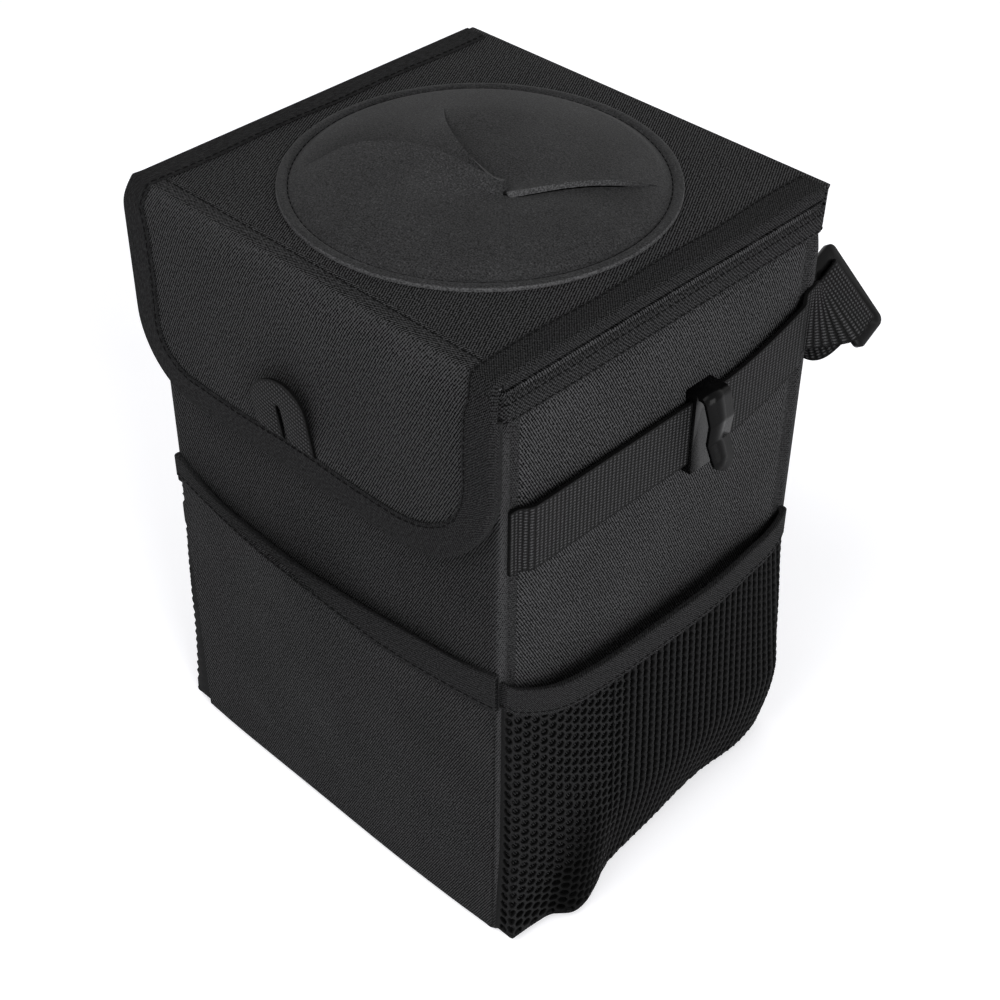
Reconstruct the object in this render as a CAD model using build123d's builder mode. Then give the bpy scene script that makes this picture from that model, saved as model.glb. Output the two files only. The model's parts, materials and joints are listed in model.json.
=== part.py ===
from build123d import *
from math import atan, cos, degrees, pi, radians, sin
import os

os.makedirs("parts", exist_ok=True)

# A soft-sided car trash bin: fabric walls on stiff boards, a fabric-hinged lid with a
# slit neoprene chute, a front flap, three outer pockets, two side straps and a hanging strap.
# Millimetres. +Z is up, the front is at -Y, and the origin is the middle of the base on the floor.

# Body
body_width = 163.0
body_depth = 152.0
lid_height = 246.0
corner_radius = 3.0
seam_return = 8.0

# Sheet stock
fabric = 1.0
board = 2.0
lining = 0.6
tape = 0.8
neoprene = 2.0
mesh = 1.2
webbing = 1.4
webbing_width = 25.0

# Clearances between pieces that move past each other
lid_gap = 0.4
running_gap = 0.3
hook_gap = 0.3

# Rim tape and raised side field
rim_tape_height = 11.8
field_rise = 0.8
field_top_gap = 1.4
field_bottom_gap = 4.0
field_lip = 0.1

# Lid
front_fold_radius = 2.6
front_fold_reach = 3.6
back_fold_radius = 2.2
lid_tape_width = 9.0
lid_tape_front_gap = 1.2

# Chute
chute_diameter = 132.0
chute_rim_width = 6.5
chute_hole_diameter = 113.0
chute_rise = 8.0
crown_radius = 12.0
dome_rings = 3
dome_sides = 32
slit_width = 0.9
slit_reach = 53.0
petals = 4

# Front flap
flap_width = 168.0
flap_drop = 72.0
flap_corner_radius = 40.0
flap_top_gap = 0.9
flap_tape_width = 10.0

# Hook-and-loop closure and pull loop
closure_width = 80.0
closure_height = 20.0
closure_above_flap_edge = 13.0
loop_tape = 1.1
pull_width = 28.0
pull_height = 34.0
pull_foot = 6.0
pull_crown = 2.2
pull_slit_width = 2.6
pull_slit_height = 15.0
pull_slit_above_foot = 1.5
pull_lean = 6.5
pull_offset = -8.0
pull_tape = 1.6

# Outer pockets
pocket_top = 130.0
pocket_floor = 3.0
pocket_tape_height = 13.0
front_pocket_bow = 7.0
front_pocket_floor_bow = 1.2
front_pocket_foot = 6.0
side_pocket_top = 122.0
side_gusset_top = 6.5
side_gusset_floor = 8.0
side_bow_top = 17.0
side_bow_floor = 8.5
side_rear_top = 9.5
side_rear_floor = 8.0
side_rear_from_back = 14.0
pleat_top = 13.6
pleat_floor = 15.0
pleat_from_front = 29.0
pleat_half_width = 13.0
side_pocket_front_inset = 1.5
side_pocket_back_inset = 3.0
side_pocket_back_foot = 5.0
side_pocket_rear_seam = 1.6
mesh_gap = 7.2
mesh_pitch_along = 20.0
mesh_pitch_up = 17.8
mesh_margin_along = 13.0
mesh_margin_up = 8.0

# Side straps and their clips
strap_below_lid = 62.0
strap_rise = 12.5
strap_bend_place = 20.0
strap_step_length = 4.0
strap_bend_radius = 2.8
clip_width = 12.0
clip_height = 32.0
clip_place = 13.5
clip_back = 1.2
clip_plate = 1.8
clip_tongue = 1.6
tongue_neck = 2.6
tongue_belly = 5.2
tongue_waist = 4.5
tongue_reach = 8.7
belly_above_middle = 6.4
waist_below_middle = 1.6
tip_below_middle = 11.5
tongue_bend_radius = 2.5
tongue_tip_width = 9.4
tongue_tip_radius = 4.4

# Slide buckle and hanging strap behind the bin
buckle_length = 35.0
buckle_width = 17.0
buckle_thickness = 2.6
buckle_bar = 3.4
buckle_corner_radius = 3.0
buckle_bevel = 0.3
buckle_tilt = 36.0
buckle_yaw = 15.0
buckle_out = 3.6
buckle_behind = 13.5
buckle_rise = 2.0
hanging_bow = 9.0
hanging_below_lid = 47.0
hanging_right_end = 52.0
hanging_foot = 7.0

# Places that follow from the sizes above
half_width = body_width / 2
half_depth = body_depth / 2
wall = fabric + board + lining
lid_under = lid_height - wall
rim_top = lid_under - tape - lid_gap
wall_top = rim_top - tape
rim_tape_bottom = rim_top - rim_tape_height
front_fold_y = -half_depth - front_fold_reach
front_fold_z = lid_height - front_fold_radius
back_fold_y = half_depth
back_fold_z = lid_height - back_fold_radius
lid_front = front_fold_y + front_fold_radius + running_gap
lid_back = back_fold_y - back_fold_radius - running_gap
lid_middle = (front_fold_y + back_fold_y) / 2
flap_outer = -front_fold_y + front_fold_radius
flap_inner = flap_outer - wall
flap_top = front_fold_z - front_fold_radius - flap_top_gap
flap_bottom = flap_top - flap_drop
pocket_seam = pocket_top - pocket_tape_height
side_pocket_seam = side_pocket_top - pocket_tape_height
strap_height = lid_height - strap_below_lid
hanging_height = lid_height - hanging_below_lid
strap_stand_off = field_rise + clip_back + 2 * running_gap
strap_end = half_depth - corner_radius
field_edge = half_depth - seam_return


def save(builder, node):
    builder.part.label = node
    export_step(builder.part, f"parts/{node}.step")


def footprint(grow):
    """Plan of the body with rounded corners, larger than the body by grow on every side."""
    with BuildSketch() as plan:
        RectangleRounded(body_width + 2 * grow, body_depth + 2 * grow, corner_radius + grow)
    return plan.sketch


def inner_plan(shrink):
    """Plan of the space inside the boards, smaller by shrink on every side."""
    with BuildSketch() as plan:
        Rectangle(
            2 * (half_width - fabric - board - shrink),
            2 * (half_depth - fabric - board - shrink),
        )
    return plan.sketch


def wrap_panel(front):
    """Front or back fabric panel, which turns the two corners and ends at the side seams."""
    with BuildPart() as panel:
        with BuildSketch(Plane.XY.offset(fabric)):
            add(footprint(0))
            add(footprint(-fabric), mode=Mode.SUBTRACT)
            keep = -field_edge if front else field_edge
            side = Align.MAX if front else Align.MIN
            with Locations((0, keep)):
                Rectangle(2 * body_width, body_depth, align=(Align.CENTER, side), mode=Mode.INTERSECT)
        extrude(amount=wall_top - fabric)
    return panel


front_panel = wrap_panel(front=True)
save(front_panel, "front_panel")

back_panel = wrap_panel(front=False)
save(back_panel, "back_panel")

with BuildPart() as right_panel:
    panel_length = 2 * field_edge
    with BuildSketch(Plane.YZ.offset(half_width - fabric)):
        with Locations((0, fabric)):
            Rectangle(panel_length, wall_top - fabric, align=(Align.CENTER, Align.MIN))
    extrude(amount=fabric)
    field_bottom = pocket_top + field_bottom_gap
    field_top = rim_tape_bottom - field_top_gap
    with BuildSketch(Plane.YZ.offset(half_width)):
        with Locations((0, field_bottom)):
            Rectangle(panel_length, field_top - field_bottom, align=(Align.CENTER, Align.MIN))
    extrude(amount=field_rise)
    chamfer(right_panel.faces().sort_by(Axis.X)[-1].edges(), field_rise - field_lip)
save(right_panel, "right_panel")

with BuildPart() as left_panel:
    mirror(right_panel.part, about=Plane.YZ)
save(left_panel, "left_panel")

with BuildPart() as base_panel:
    with BuildSketch():
        add(footprint(0))
    extrude(amount=fabric)
save(base_panel, "base_panel")

# Stiff boards that stand between the outer fabric and the lining
with BuildPart() as front_board:
    with BuildSketch(Plane.XZ.offset(half_depth - fabric - board)):
        with Locations((0, fabric)):
            Rectangle(
                2 * (half_width - fabric - board),
                wall_top - fabric,
                align=(Align.CENTER, Align.MIN),
            )
    extrude(amount=board)
save(front_board, "front_board")

with BuildPart() as back_board:
    mirror(front_board.part, about=Plane.XZ)
save(back_board, "back_board")

with BuildPart() as right_board:
    with BuildSketch(Plane.YZ.offset(half_width - fabric - board)):
        with Locations((0, fabric)):
            Rectangle(
                2 * (half_depth - fabric - board),
                wall_top - fabric,
                align=(Align.CENTER, Align.MIN),
            )
    extrude(amount=board)
save(right_board, "right_board")

with BuildPart() as left_board:
    mirror(right_board.part, about=Plane.YZ)
save(left_board, "left_board")

with BuildPart() as base_board:
    with BuildSketch(Plane.XY.offset(fabric)):
        add(inner_plan(0))
    extrude(amount=board)
save(base_board, "base_board")

# Waterproof lining, one open-topped bag against the boards
with BuildPart() as inner_liner:
    with BuildSketch(Plane.XY.offset(fabric + board)):
        add(inner_plan(0))
    extrude(amount=wall_top - fabric - board)
    with BuildSketch(Plane.XY.offset(fabric + board + lining)):
        add(inner_plan(lining))
    extrude(amount=wall_top, mode=Mode.SUBTRACT)
save(inner_liner, "inner_liner")

# Tape folded over the top of the four walls
with BuildPart() as rim_binding:
    with BuildSketch(Plane.XY.offset(rim_tape_bottom)):
        add(footprint(tape))
        add(inner_plan(lining + tape), mode=Mode.SUBTRACT)
    extrude(amount=rim_tape_height)
    with BuildSketch(Plane.XY.offset(rim_tape_bottom)):
        add(footprint(0))
        add(inner_plan(lining), mode=Mode.SUBTRACT)
    extrude(amount=wall_top - rim_tape_bottom, mode=Mode.SUBTRACT)
save(rim_binding, "rim_binding")


def bowed_band(span, bow, skin, foot):
    """Plan of a strip sewn down at both ends on the line y = 0 that bows out towards -Y."""
    end = span / 2
    with BuildSketch() as plan:
        with BuildLine():
            ThreePointArc((-end, -skin), (0, -skin - bow), (end, -skin))
            Polyline((end, -skin), (end, 0), (end - foot, 0))
            ThreePointArc((end - foot, 0), (0, -bow), (foot - end, 0))
            Polyline((foot - end, 0), (-end, 0), (-end, -skin))
        make_face()
    return plan.sketch


# Front pocket, sewn down at the corners and the base, and its edge tape
front_pocket_span = body_width - corner_radius
front_wall_plane = Plane.XY.move(Location((0, -half_depth, 0)))

with BuildPart() as front_pocket:
    for height, bow in ((pocket_floor, front_pocket_floor_bow), (pocket_seam, front_pocket_bow)):
        with BuildSketch(front_wall_plane.offset(height)):
            add(bowed_band(front_pocket_span, bow, fabric, front_pocket_foot))
    loft(ruled=True)
    with BuildSketch(front_wall_plane.offset(pocket_floor)):
        with BuildLine():
            end = front_pocket_span / 2
            ThreePointArc((-end, -fabric), (0, -fabric - front_pocket_floor_bow), (end, -fabric))
            Polyline((end, -fabric), (end, 0), (-end, 0), (-end, -fabric))
        make_face()
    extrude(amount=-fabric)
save(front_pocket, "front_pocket")

with BuildPart() as front_pocket_binding:
    with BuildSketch(front_wall_plane.offset(pocket_seam)):
        add(bowed_band(front_pocket_span, front_pocket_bow - tape, fabric + 2 * tape, front_pocket_foot))
    extrude(amount=pocket_tape_height)
save(front_pocket_binding, "front_pocket_binding")


def side_pocket_plan(stand_offs, depth, front_inset, back_inset, skin):
    """Plan of a side pocket from the wall outwards, in X from the wall face and Y along it.

    stand_offs are the distances from the wall at the gusset, before, on and after the pleat,
    in the middle and behind it. depth moves that outline back towards the wall, the insets
    move its two ends towards the middle, and skin is the thickness at the rear seam.
    """
    front = side_pocket_front + front_inset
    back = side_pocket_back - back_inset
    stations = (
        front,
        pleat_place - pleat_half_width,
        pleat_place,
        pleat_place + pleat_half_width,
        0,
        half_depth - side_rear_from_back,
    )
    outline = [(out - depth, place) for out, place in zip(stand_offs, stations)]
    with BuildSketch() as plan:
        with BuildLine():
            Polyline((0, front), *outline, (skin, back), (0, back), close=True)
        make_face()
    return plan.sketch


def side_stand_offs(gusset, pleat, bow, rear):
    """Distances from the wall at the stations of side_pocket_plan."""
    return (gusset, (gusset + bow) / 2, pleat, min(bow, (pleat + bow) / 2), bow, rear)


pleat_place = pleat_from_front - half_depth
side_pocket_front = side_pocket_front_inset - half_depth
side_pocket_back = half_depth - side_pocket_back_inset
side_pocket_gusset = mesh + tape
top_stand_offs = side_stand_offs(side_gusset_top, pleat_top, side_bow_top, side_rear_top)
floor_stand_offs = side_stand_offs(side_gusset_floor, pleat_floor, side_bow_floor, side_rear_floor)
inner_seam = side_pocket_rear_seam - mesh
right_wall_plane = Plane.XY.move(Location((half_width, 0, 0)))
mesh_columns = int((side_pocket_back - side_pocket_front - 2 * mesh_margin_along) / mesh_pitch_along)
mesh_rows = int((side_pocket_seam - pocket_floor - 2 * mesh_margin_up) / mesh_pitch_up)

# Right mesh pocket: a pleated shell, open at the top, with rows of gaps through its outer wall
with BuildPart() as pocket_space:
    for height, stand_offs in ((pocket_floor + mesh, floor_stand_offs), (side_pocket_seam, top_stand_offs)):
        with BuildSketch(right_wall_plane.offset(height)):
            add(side_pocket_plan(stand_offs, mesh, side_pocket_gusset, side_pocket_back_foot, inner_seam))
    loft(ruled=True)

with BuildPart() as right_mesh_pocket:
    for height, stand_offs in ((pocket_floor, floor_stand_offs), (side_pocket_seam, top_stand_offs)):
        with BuildSketch(right_wall_plane.offset(height)):
            add(side_pocket_plan(stand_offs, 0, 0, 0, side_pocket_rear_seam))
    loft(ruled=True)
    add(pocket_space.part, mode=Mode.SUBTRACT)
    with BuildSketch(Plane.YZ.offset(half_width + mesh)):
        columns_middle = (side_pocket_front + side_pocket_back) / 2
        rows_middle = (pocket_floor + side_pocket_seam) / 2
        for stagger in (-1, 1):
            shift = stagger * mesh_pitch_along / 4
            lift = stagger * mesh_pitch_up / 4
            with Locations((columns_middle + shift, rows_middle + lift)):
                with GridLocations(mesh_pitch_along, mesh_pitch_up, mesh_columns, mesh_rows):
                    Rectangle(mesh_gap, mesh_gap, rotation=45)
    extrude(amount=side_bow_top + pleat_floor, mode=Mode.SUBTRACT)
save(right_mesh_pocket, "right_mesh_pocket")

with BuildPart() as left_mesh_pocket:
    mirror(right_mesh_pocket.part, about=Plane.YZ)
save(left_mesh_pocket, "left_mesh_pocket")

with BuildPart() as right_mesh_binding:
    with BuildSketch(right_wall_plane.offset(side_pocket_seam)):
        add(side_pocket_plan(top_stand_offs, -tape, 0, 0, side_pocket_rear_seam + tape))
        add(
            side_pocket_plan(
                top_stand_offs,
                mesh + tape,
                side_pocket_gusset + tape,
                side_pocket_back_foot,
                inner_seam,
            ),
            mode=Mode.SUBTRACT,
        )
    extrude(amount=pocket_tape_height)
save(right_mesh_binding, "right_mesh_binding")

with BuildPart() as left_mesh_binding:
    mirror(right_mesh_binding.part, about=Plane.YZ)
save(left_mesh_binding, "left_mesh_binding")


def strap_side_run():
    """Right side strap: sewn at both corners, standing off the wall, rising behind its clip."""
    middle = half_width + webbing / 2
    seam_end = field_edge + strap_step_length / 2
    run_end = field_edge - strap_step_length / 2
    with BuildPart() as run:
        with BuildSketch():
            with BuildLine():
                FilletPolyline(
                    (middle, -strap_end),
                    (middle, -seam_end),
                    (middle + strap_stand_off, -run_end),
                    (middle + strap_stand_off, run_end),
                    (middle, seam_end),
                    (middle, strap_end),
                    radius=strap_bend_radius,
                )
            trace(line_width=webbing)
        extrude(amount=lid_height)
        low = strap_height - webbing_width / 2
        high = strap_height + webbing_width / 2
        with BuildSketch(Plane.YZ):
            Polygon(
                (-strap_end, low),
                (strap_bend_place, low),
                (strap_end, low + strap_rise),
                (strap_end, high + strap_rise),
                (strap_bend_place, high),
                (-strap_end, high),
                align=None,
            )
        extrude(amount=body_width, mode=Mode.INTERSECT)
    return run.part


# Slide buckle: its long side lies across the webbing, tilted out and turned back
tilt = radians(buckle_tilt)
yaw = radians(buckle_yaw)
buckle_face = Vector(cos(tilt), 0, sin(tilt))
untwisted = Vector(sin(tilt), 0, -cos(tilt))
buckle_along = untwisted * cos(yaw) + Vector(0, 1, 0) * sin(yaw)
buckle_run = buckle_face.cross(buckle_along)
strap_corner_height = strap_height + strap_rise
buckle_middle = Vector(
    half_width + buckle_out,
    half_depth + buckle_behind,
    strap_corner_height + buckle_rise,
)
buckle_plane = Plane(origin=buckle_middle, x_dir=buckle_along, z_dir=buckle_face)

with BuildPart() as strap_buckle:
    with BuildSketch(buckle_plane):
        RectangleRounded(buckle_length, buckle_width, buckle_corner_radius)
        slot_height = (buckle_width - 3 * buckle_bar) / 2
        with GridLocations(0, slot_height + buckle_bar, 1, 2):
            Rectangle(webbing_width + 2 * running_gap, slot_height, mode=Mode.SUBTRACT)
    extrude(amount=buckle_thickness / 2, both=True)
    chamfer(strap_buckle.faces().sort_by(Axis.Z)[-1].edges(), buckle_bevel)
save(strap_buckle, "strap_buckle")


def across(origin, along, heading):
    """Plane square to a strap at origin, with X along the width of the webbing."""
    return Plane(origin=origin, x_dir=along, z_dir=heading)


def on_buckle(run, lift):
    """Point on the middle line of the buckle, run along the webbing and lift off its plane."""
    return buckle_middle + buckle_run * run + buckle_face * lift


outer_slot = (slot_height + buckle_bar) / 2
webbing_lift = buckle_thickness / 2 + running_gap + webbing / 2
down = Vector(0, 0, -1)
strap_corner = Vector(half_width + webbing / 2, strap_end, strap_corner_height)

# Right strap: the side run, then a twisted tab that lies on the buckle and dives through its slot
with BuildPart() as right_strap:
    add(strap_side_run())
    tab_sections = (
        across(strap_corner, down, Vector(0, 1, 0)),
        across(on_buckle(-buckle_width / 2, webbing_lift), buckle_along, buckle_run),
        across(on_buckle(outer_slot, webbing_lift), buckle_along, buckle_run),
    )
    for section in tab_sections:
        with BuildSketch(section):
            Rectangle(webbing_width, webbing)
    loft(ruled=True)
    with BuildSketch(buckle_plane.offset(webbing_lift)):
        with Locations((0, outer_slot)):
            Rectangle(webbing_width, webbing)
    extrude(amount=-webbing_lift)
save(right_strap, "right_strap")

with BuildPart() as left_strap:
    mirror(strap_side_run(), about=Plane.YZ)
save(left_strap, "left_strap")

# Hanging strap: up through the buckle's slot, back under the buckle and across behind the bin
hanging_left_end = half_width - corner_radius
hanging_span = hanging_left_end + hanging_right_end
with BuildPart() as hanging_strap:
    back_wall = Location(((hanging_right_end - hanging_left_end) / 2, half_depth, 0), (0, 0, 180))
    with BuildSketch(Plane(back_wall).offset(hanging_height - webbing_width / 2)):
        add(bowed_band(hanging_span, hanging_bow, webbing, hanging_foot))
    extrude(amount=webbing_width)
    fold = on_buckle(-buckle_width / 2, -webbing_lift)
    landing = Vector(hanging_right_end, half_depth + webbing / 2, hanging_height)
    fold_normal = (landing - fold).cross(buckle_along)
    return_sections = (
        across(fold, buckle_along, buckle_along.cross(fold_normal)),
        across(landing, down, Vector(-1, 0, 0)),
    )
    for section in return_sections:
        with BuildSketch(section):
            Rectangle(webbing_width, webbing)
    loft(ruled=True)
    under_length = buckle_width / 2 + outer_slot + webbing / 2
    with BuildSketch(buckle_plane.offset(-webbing_lift - webbing / 2)):
        with Locations((0, outer_slot + webbing / 2)):
            Rectangle(webbing_width, under_length, align=(Align.CENTER, Align.MAX))
    extrude(amount=webbing)
    with BuildSketch(buckle_plane):
        with Locations((0, outer_slot)):
            Rectangle(webbing_width, webbing)
    extrude(amount=-webbing_lift)
save(hanging_strap, "hanging_strap")


# Spring clip that slides on the side strap, held by a sleeve round the webbing
back_face = field_rise + running_gap
slot_face = back_face + clip_back
plate_face = slot_face + webbing + 2 * running_gap + clip_plate


def clip_profile():
    """Side view of the clip in X from the wall face and Z from the middle of the strap."""
    slot_half = webbing_width / 2 + running_gap
    top = clip_height / 2
    with BuildSketch() as profile:
        with Locations((back_face, 0)):
            Rectangle(plate_face - back_face, clip_height, align=(Align.MIN, Align.CENTER))
        with Locations((slot_face, 0)):
            Rectangle(
                webbing + 2 * running_gap,
                2 * slot_half,
                align=(Align.MIN, Align.CENTER),
                mode=Mode.SUBTRACT,
            )
        with BuildLine():
            middle = plate_face + clip_tongue / 2
            FilletPolyline(
                (plate_face - clip_plate, top - clip_tongue / 2),
                (middle + tongue_neck, top - clip_tongue / 2),
                (middle + tongue_belly, belly_above_middle),
                (middle + tongue_waist, -waist_below_middle),
                (middle + tongue_reach, -tip_below_middle),
                radius=tongue_bend_radius,
            )
        trace(line_width=clip_tongue)
    return profile.sketch


with BuildPart() as right_clip:
    clip_plane = Plane(origin=(half_width, clip_place, strap_height), x_dir=(1, 0, 0), z_dir=(0, -1, 0))
    with BuildSketch(clip_plane):
        add(clip_profile())
    extrude(amount=clip_width / 2, both=True)
    with BuildSketch(Plane.YZ.offset(half_width + plate_face)):
        with Locations((clip_place, strap_height)):
            for side in (-clip_width / 2, clip_width / 2):
                narrow_side = side * tongue_tip_width / clip_width
                Polygon(
                    (side, clip_height / 2),
                    (narrow_side, -tip_below_middle),
                    (narrow_side, -clip_height / 2),
                    (side, -clip_height / 2),
                    align=None,
                )
    extrude(amount=2 * tongue_reach, mode=Mode.SUBTRACT)
    tip = right_clip.faces().sort_by(Axis.X)[-1]
    fillet(tip.edges().sort_by(SortBy.LENGTH)[:2], tongue_tip_radius)
save(right_clip, "right_clip")

with BuildPart() as left_clip:
    mirror(right_clip.part, about=Plane.YZ)
save(left_clip, "left_clip")


def lid_plan():
    """Plan of the lid's inner layers, between its two folds, with the hole under the chute."""
    with BuildSketch() as plan:
        with Locations((0, (lid_front + lid_back) / 2)):
            Rectangle(body_width, lid_back - lid_front)
        with Locations((0, lid_middle)):
            Circle(chute_hole_diameter / 2, mode=Mode.SUBTRACT)
    return plan.sketch


# Lid: outer fabric with a rolled fold at the front and the back, a board and a lining
with BuildPart() as lid_skin:
    with BuildSketch(Plane.XY.offset(lid_height - fabric)):
        with Locations((0, lid_middle)):
            Rectangle(body_width, back_fold_y - front_fold_y)
            Circle(chute_hole_diameter / 2, mode=Mode.SUBTRACT)
    extrude(amount=fabric)
    with BuildSketch(Plane.YZ.offset(-half_width)):
        with Locations((front_fold_y, front_fold_z)):
            Circle(front_fold_radius)
        with Locations((back_fold_y, back_fold_z)):
            Circle(back_fold_radius)
    extrude(amount=body_width)
save(lid_skin, "lid_skin")

with BuildPart() as lid_board:
    with BuildSketch(Plane.XY.offset(lid_under + lining)):
        add(lid_plan())
    extrude(amount=board)
save(lid_board, "lid_board")

with BuildPart() as lid_lining:
    with BuildSketch(Plane.XY.offset(lid_under)):
        add(lid_plan())
    extrude(amount=lining)
save(lid_lining, "lid_lining")

with BuildPart() as lid_right_binding:
    tape_front = lid_front + lid_tape_front_gap
    with BuildSketch(Plane.XZ.offset(-lid_back)):
        with Locations((half_width + tape, lid_under - tape)):
            Rectangle(lid_tape_width + tape, wall + 2 * tape, align=(Align.MAX, Align.MIN))
        with Locations((half_width, lid_under)):
            Rectangle(lid_tape_width, wall, align=(Align.MAX, Align.MIN), mode=Mode.SUBTRACT)
    extrude(amount=lid_back - tape_front)
save(lid_right_binding, "lid_right_binding")

with BuildPart() as lid_left_binding:
    mirror(lid_right_binding.part, about=Plane.YZ)
save(lid_left_binding, "lid_left_binding")


# Chute: a domed neoprene disc with a flat sewn rim, cut into four petals
dome_radius = chute_diameter / 2 - chute_rim_width
dome_steps = [ring / dome_rings for ring in range(dome_rings + 1)]
dome_levels = [
    (dome_radius + (crown_radius - dome_radius) * step, chute_rise * (1 - (1 - step) ** 2))
    for step in dome_steps
]
dome_tiers = []
for (wide, low), (narrow, high) in zip(dome_levels, dome_levels[1:]):
    slope = atan((wide - narrow) * cos(pi / dome_sides) / (high - low))
    dome_tiers.append((wide, low, high - low, degrees(slope)))
chute_plane = Plane.XY.move(Location((0, lid_middle, lid_height)))

with BuildPart() as dome_space:
    for radius, base, rise, slope in dome_tiers:
        with BuildSketch(chute_plane.offset(base)):
            RegularPolygon(radius, dome_sides)
        extrude(amount=rise, taper=slope)

with BuildPart() as chute_disc:
    for radius, base, rise, slope in dome_tiers:
        with BuildSketch(chute_plane.offset(neoprene + base)):
            RegularPolygon(radius, dome_sides)
        extrude(amount=rise, taper=slope)
    with BuildSketch(chute_plane):
        Circle(chute_diameter / 2)
    extrude(amount=neoprene)
    add(dome_space.part, mode=Mode.SUBTRACT)
    with BuildSketch(chute_plane):
        with PolarLocations(0, petals, start_angle=180 / petals):
            Rectangle(slit_reach, slit_width, align=(Align.MIN, Align.CENTER))
    extrude(amount=2 * (chute_rise + neoprene), mode=Mode.SUBTRACT)
save(chute_disc, "chute_disc")


def flap_outline(grow):
    """Front view of the flap, with its top edge fixed and its other edges moved out by grow."""
    half = flap_width / 2 + grow
    bottom = flap_bottom - grow
    with BuildSketch() as outline:
        with Locations((0, flap_top)):
            Rectangle(2 * half, flap_top - bottom, align=(Align.CENTER, Align.MAX))
        lower_corners = outline.vertices().group_by(Axis.Y)[0]
        fillet(lower_corners, flap_corner_radius + grow)
    return outline.sketch


def flap_layer(inner_face, thickness, grow):
    """One sheet of the flap, from inner_face outwards."""
    with BuildPart() as layer:
        with BuildSketch(Plane.XZ.offset(inner_face)):
            add(flap_outline(grow))
        extrude(amount=thickness)
    return layer


flap_lining = flap_layer(flap_inner, lining, 0)
save(flap_lining, "flap_lining")

flap_board = flap_layer(flap_inner + lining, board, -fabric)
save(flap_board, "flap_board")

flap_skin = flap_layer(flap_inner + lining + board, fabric, 0)
save(flap_skin, "flap_skin")

with BuildPart() as flap_binding:
    with BuildSketch(Plane.XZ.offset(flap_inner - tape)):
        add(flap_outline(tape))
        add(flap_outline(tape - flap_tape_width), mode=Mode.SUBTRACT)
    extrude(amount=wall + 2 * tape)
    with BuildSketch(Plane.XZ.offset(flap_inner)):
        add(flap_outline(0))
    extrude(amount=wall, mode=Mode.SUBTRACT)
save(flap_binding, "flap_binding")

# Hook-and-loop closure, one strip on the wall and one on the flap
closure_bottom = flap_bottom + closure_above_flap_edge
with BuildPart() as front_loop_strip:
    with BuildSketch(Plane.XZ.offset(half_depth)):
        with Locations((0, closure_bottom)):
            Rectangle(closure_width, closure_height, align=(Align.CENTER, Align.MIN))
    extrude(amount=loop_tape)
save(front_loop_strip, "front_loop_strip")

with BuildPart() as flap_hook_strip:
    hook_face = half_depth + loop_tape + hook_gap
    with BuildSketch(Plane.XZ.offset(hook_face)):
        with Locations((0, closure_bottom)):
            Rectangle(closure_width, closure_height, align=(Align.CENTER, Align.MIN))
    extrude(amount=flap_inner - hook_face)
save(flap_hook_strip, "flap_hook_strip")


def pull_outline():
    """Front view of the pull loop above its foot: two legs that meet in a round arch."""
    with BuildSketch() as outline:
        Rectangle(pull_width, pull_height, align=(Align.CENTER, Align.MIN))
        fillet(outline.vertices().group_by(Axis.Y)[-1], (pull_width - pull_crown) / 2)
        with Locations((0, pull_foot + pull_slit_above_foot + pull_slit_height / 2)):
            SlotOverall(pull_slit_height, pull_slit_width, rotation=90, mode=Mode.SUBTRACT)
    return outline.sketch


# Pull loop: webbing folded into an arch that leans out from the flap
with BuildPart() as pull_loop:
    foot_bottom = flap_bottom + flap_tape_width - tape
    lean_top = foot_bottom + pull_height
    with BuildSketch(Plane.YZ.offset(pull_offset - pull_width / 2)):
        Polygon(
            (-flap_outer, foot_bottom),
            (-flap_outer, foot_bottom + pull_foot),
            (-flap_outer - pull_lean, lean_top),
            (-flap_outer - pull_lean - pull_tape, lean_top),
            (-flap_outer - pull_tape, foot_bottom + pull_foot),
            (-flap_outer - pull_tape, foot_bottom),
            align=None,
        )
    extrude(amount=pull_width)
    with BuildSketch(Plane.XZ.offset(flap_inner)):
        with Locations((pull_offset, foot_bottom)):
            add(pull_outline())
    extrude(amount=body_depth, mode=Mode.INTERSECT)
save(pull_loop, "pull_loop")
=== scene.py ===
import json
from math import cos, pi, radians, sin

import bmesh
import bpy
import numpy as np
from mathutils import Matrix, Vector


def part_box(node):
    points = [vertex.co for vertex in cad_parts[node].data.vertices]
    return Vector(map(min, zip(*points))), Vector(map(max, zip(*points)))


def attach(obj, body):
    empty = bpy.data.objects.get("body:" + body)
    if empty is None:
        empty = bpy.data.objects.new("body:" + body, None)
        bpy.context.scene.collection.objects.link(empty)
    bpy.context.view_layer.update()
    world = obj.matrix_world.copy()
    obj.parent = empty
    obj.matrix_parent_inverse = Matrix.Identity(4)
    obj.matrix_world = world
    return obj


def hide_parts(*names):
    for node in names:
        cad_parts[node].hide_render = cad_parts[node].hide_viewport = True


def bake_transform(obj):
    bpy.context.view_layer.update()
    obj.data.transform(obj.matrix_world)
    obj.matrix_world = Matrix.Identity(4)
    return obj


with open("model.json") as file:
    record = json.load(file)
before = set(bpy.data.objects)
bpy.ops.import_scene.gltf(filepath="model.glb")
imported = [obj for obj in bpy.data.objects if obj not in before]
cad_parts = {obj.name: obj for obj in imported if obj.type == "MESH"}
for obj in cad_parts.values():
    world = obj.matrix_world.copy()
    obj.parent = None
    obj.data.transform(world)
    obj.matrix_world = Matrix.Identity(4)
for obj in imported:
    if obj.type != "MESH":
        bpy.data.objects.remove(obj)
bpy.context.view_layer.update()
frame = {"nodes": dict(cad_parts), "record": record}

# A soft car trash bin: cloth walls on boards, a chute lid with a flap, pockets, straps and clips.
# Sizes in this script are millimetres, and become metres where a mesh is made.

METRES = 0.001


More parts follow.
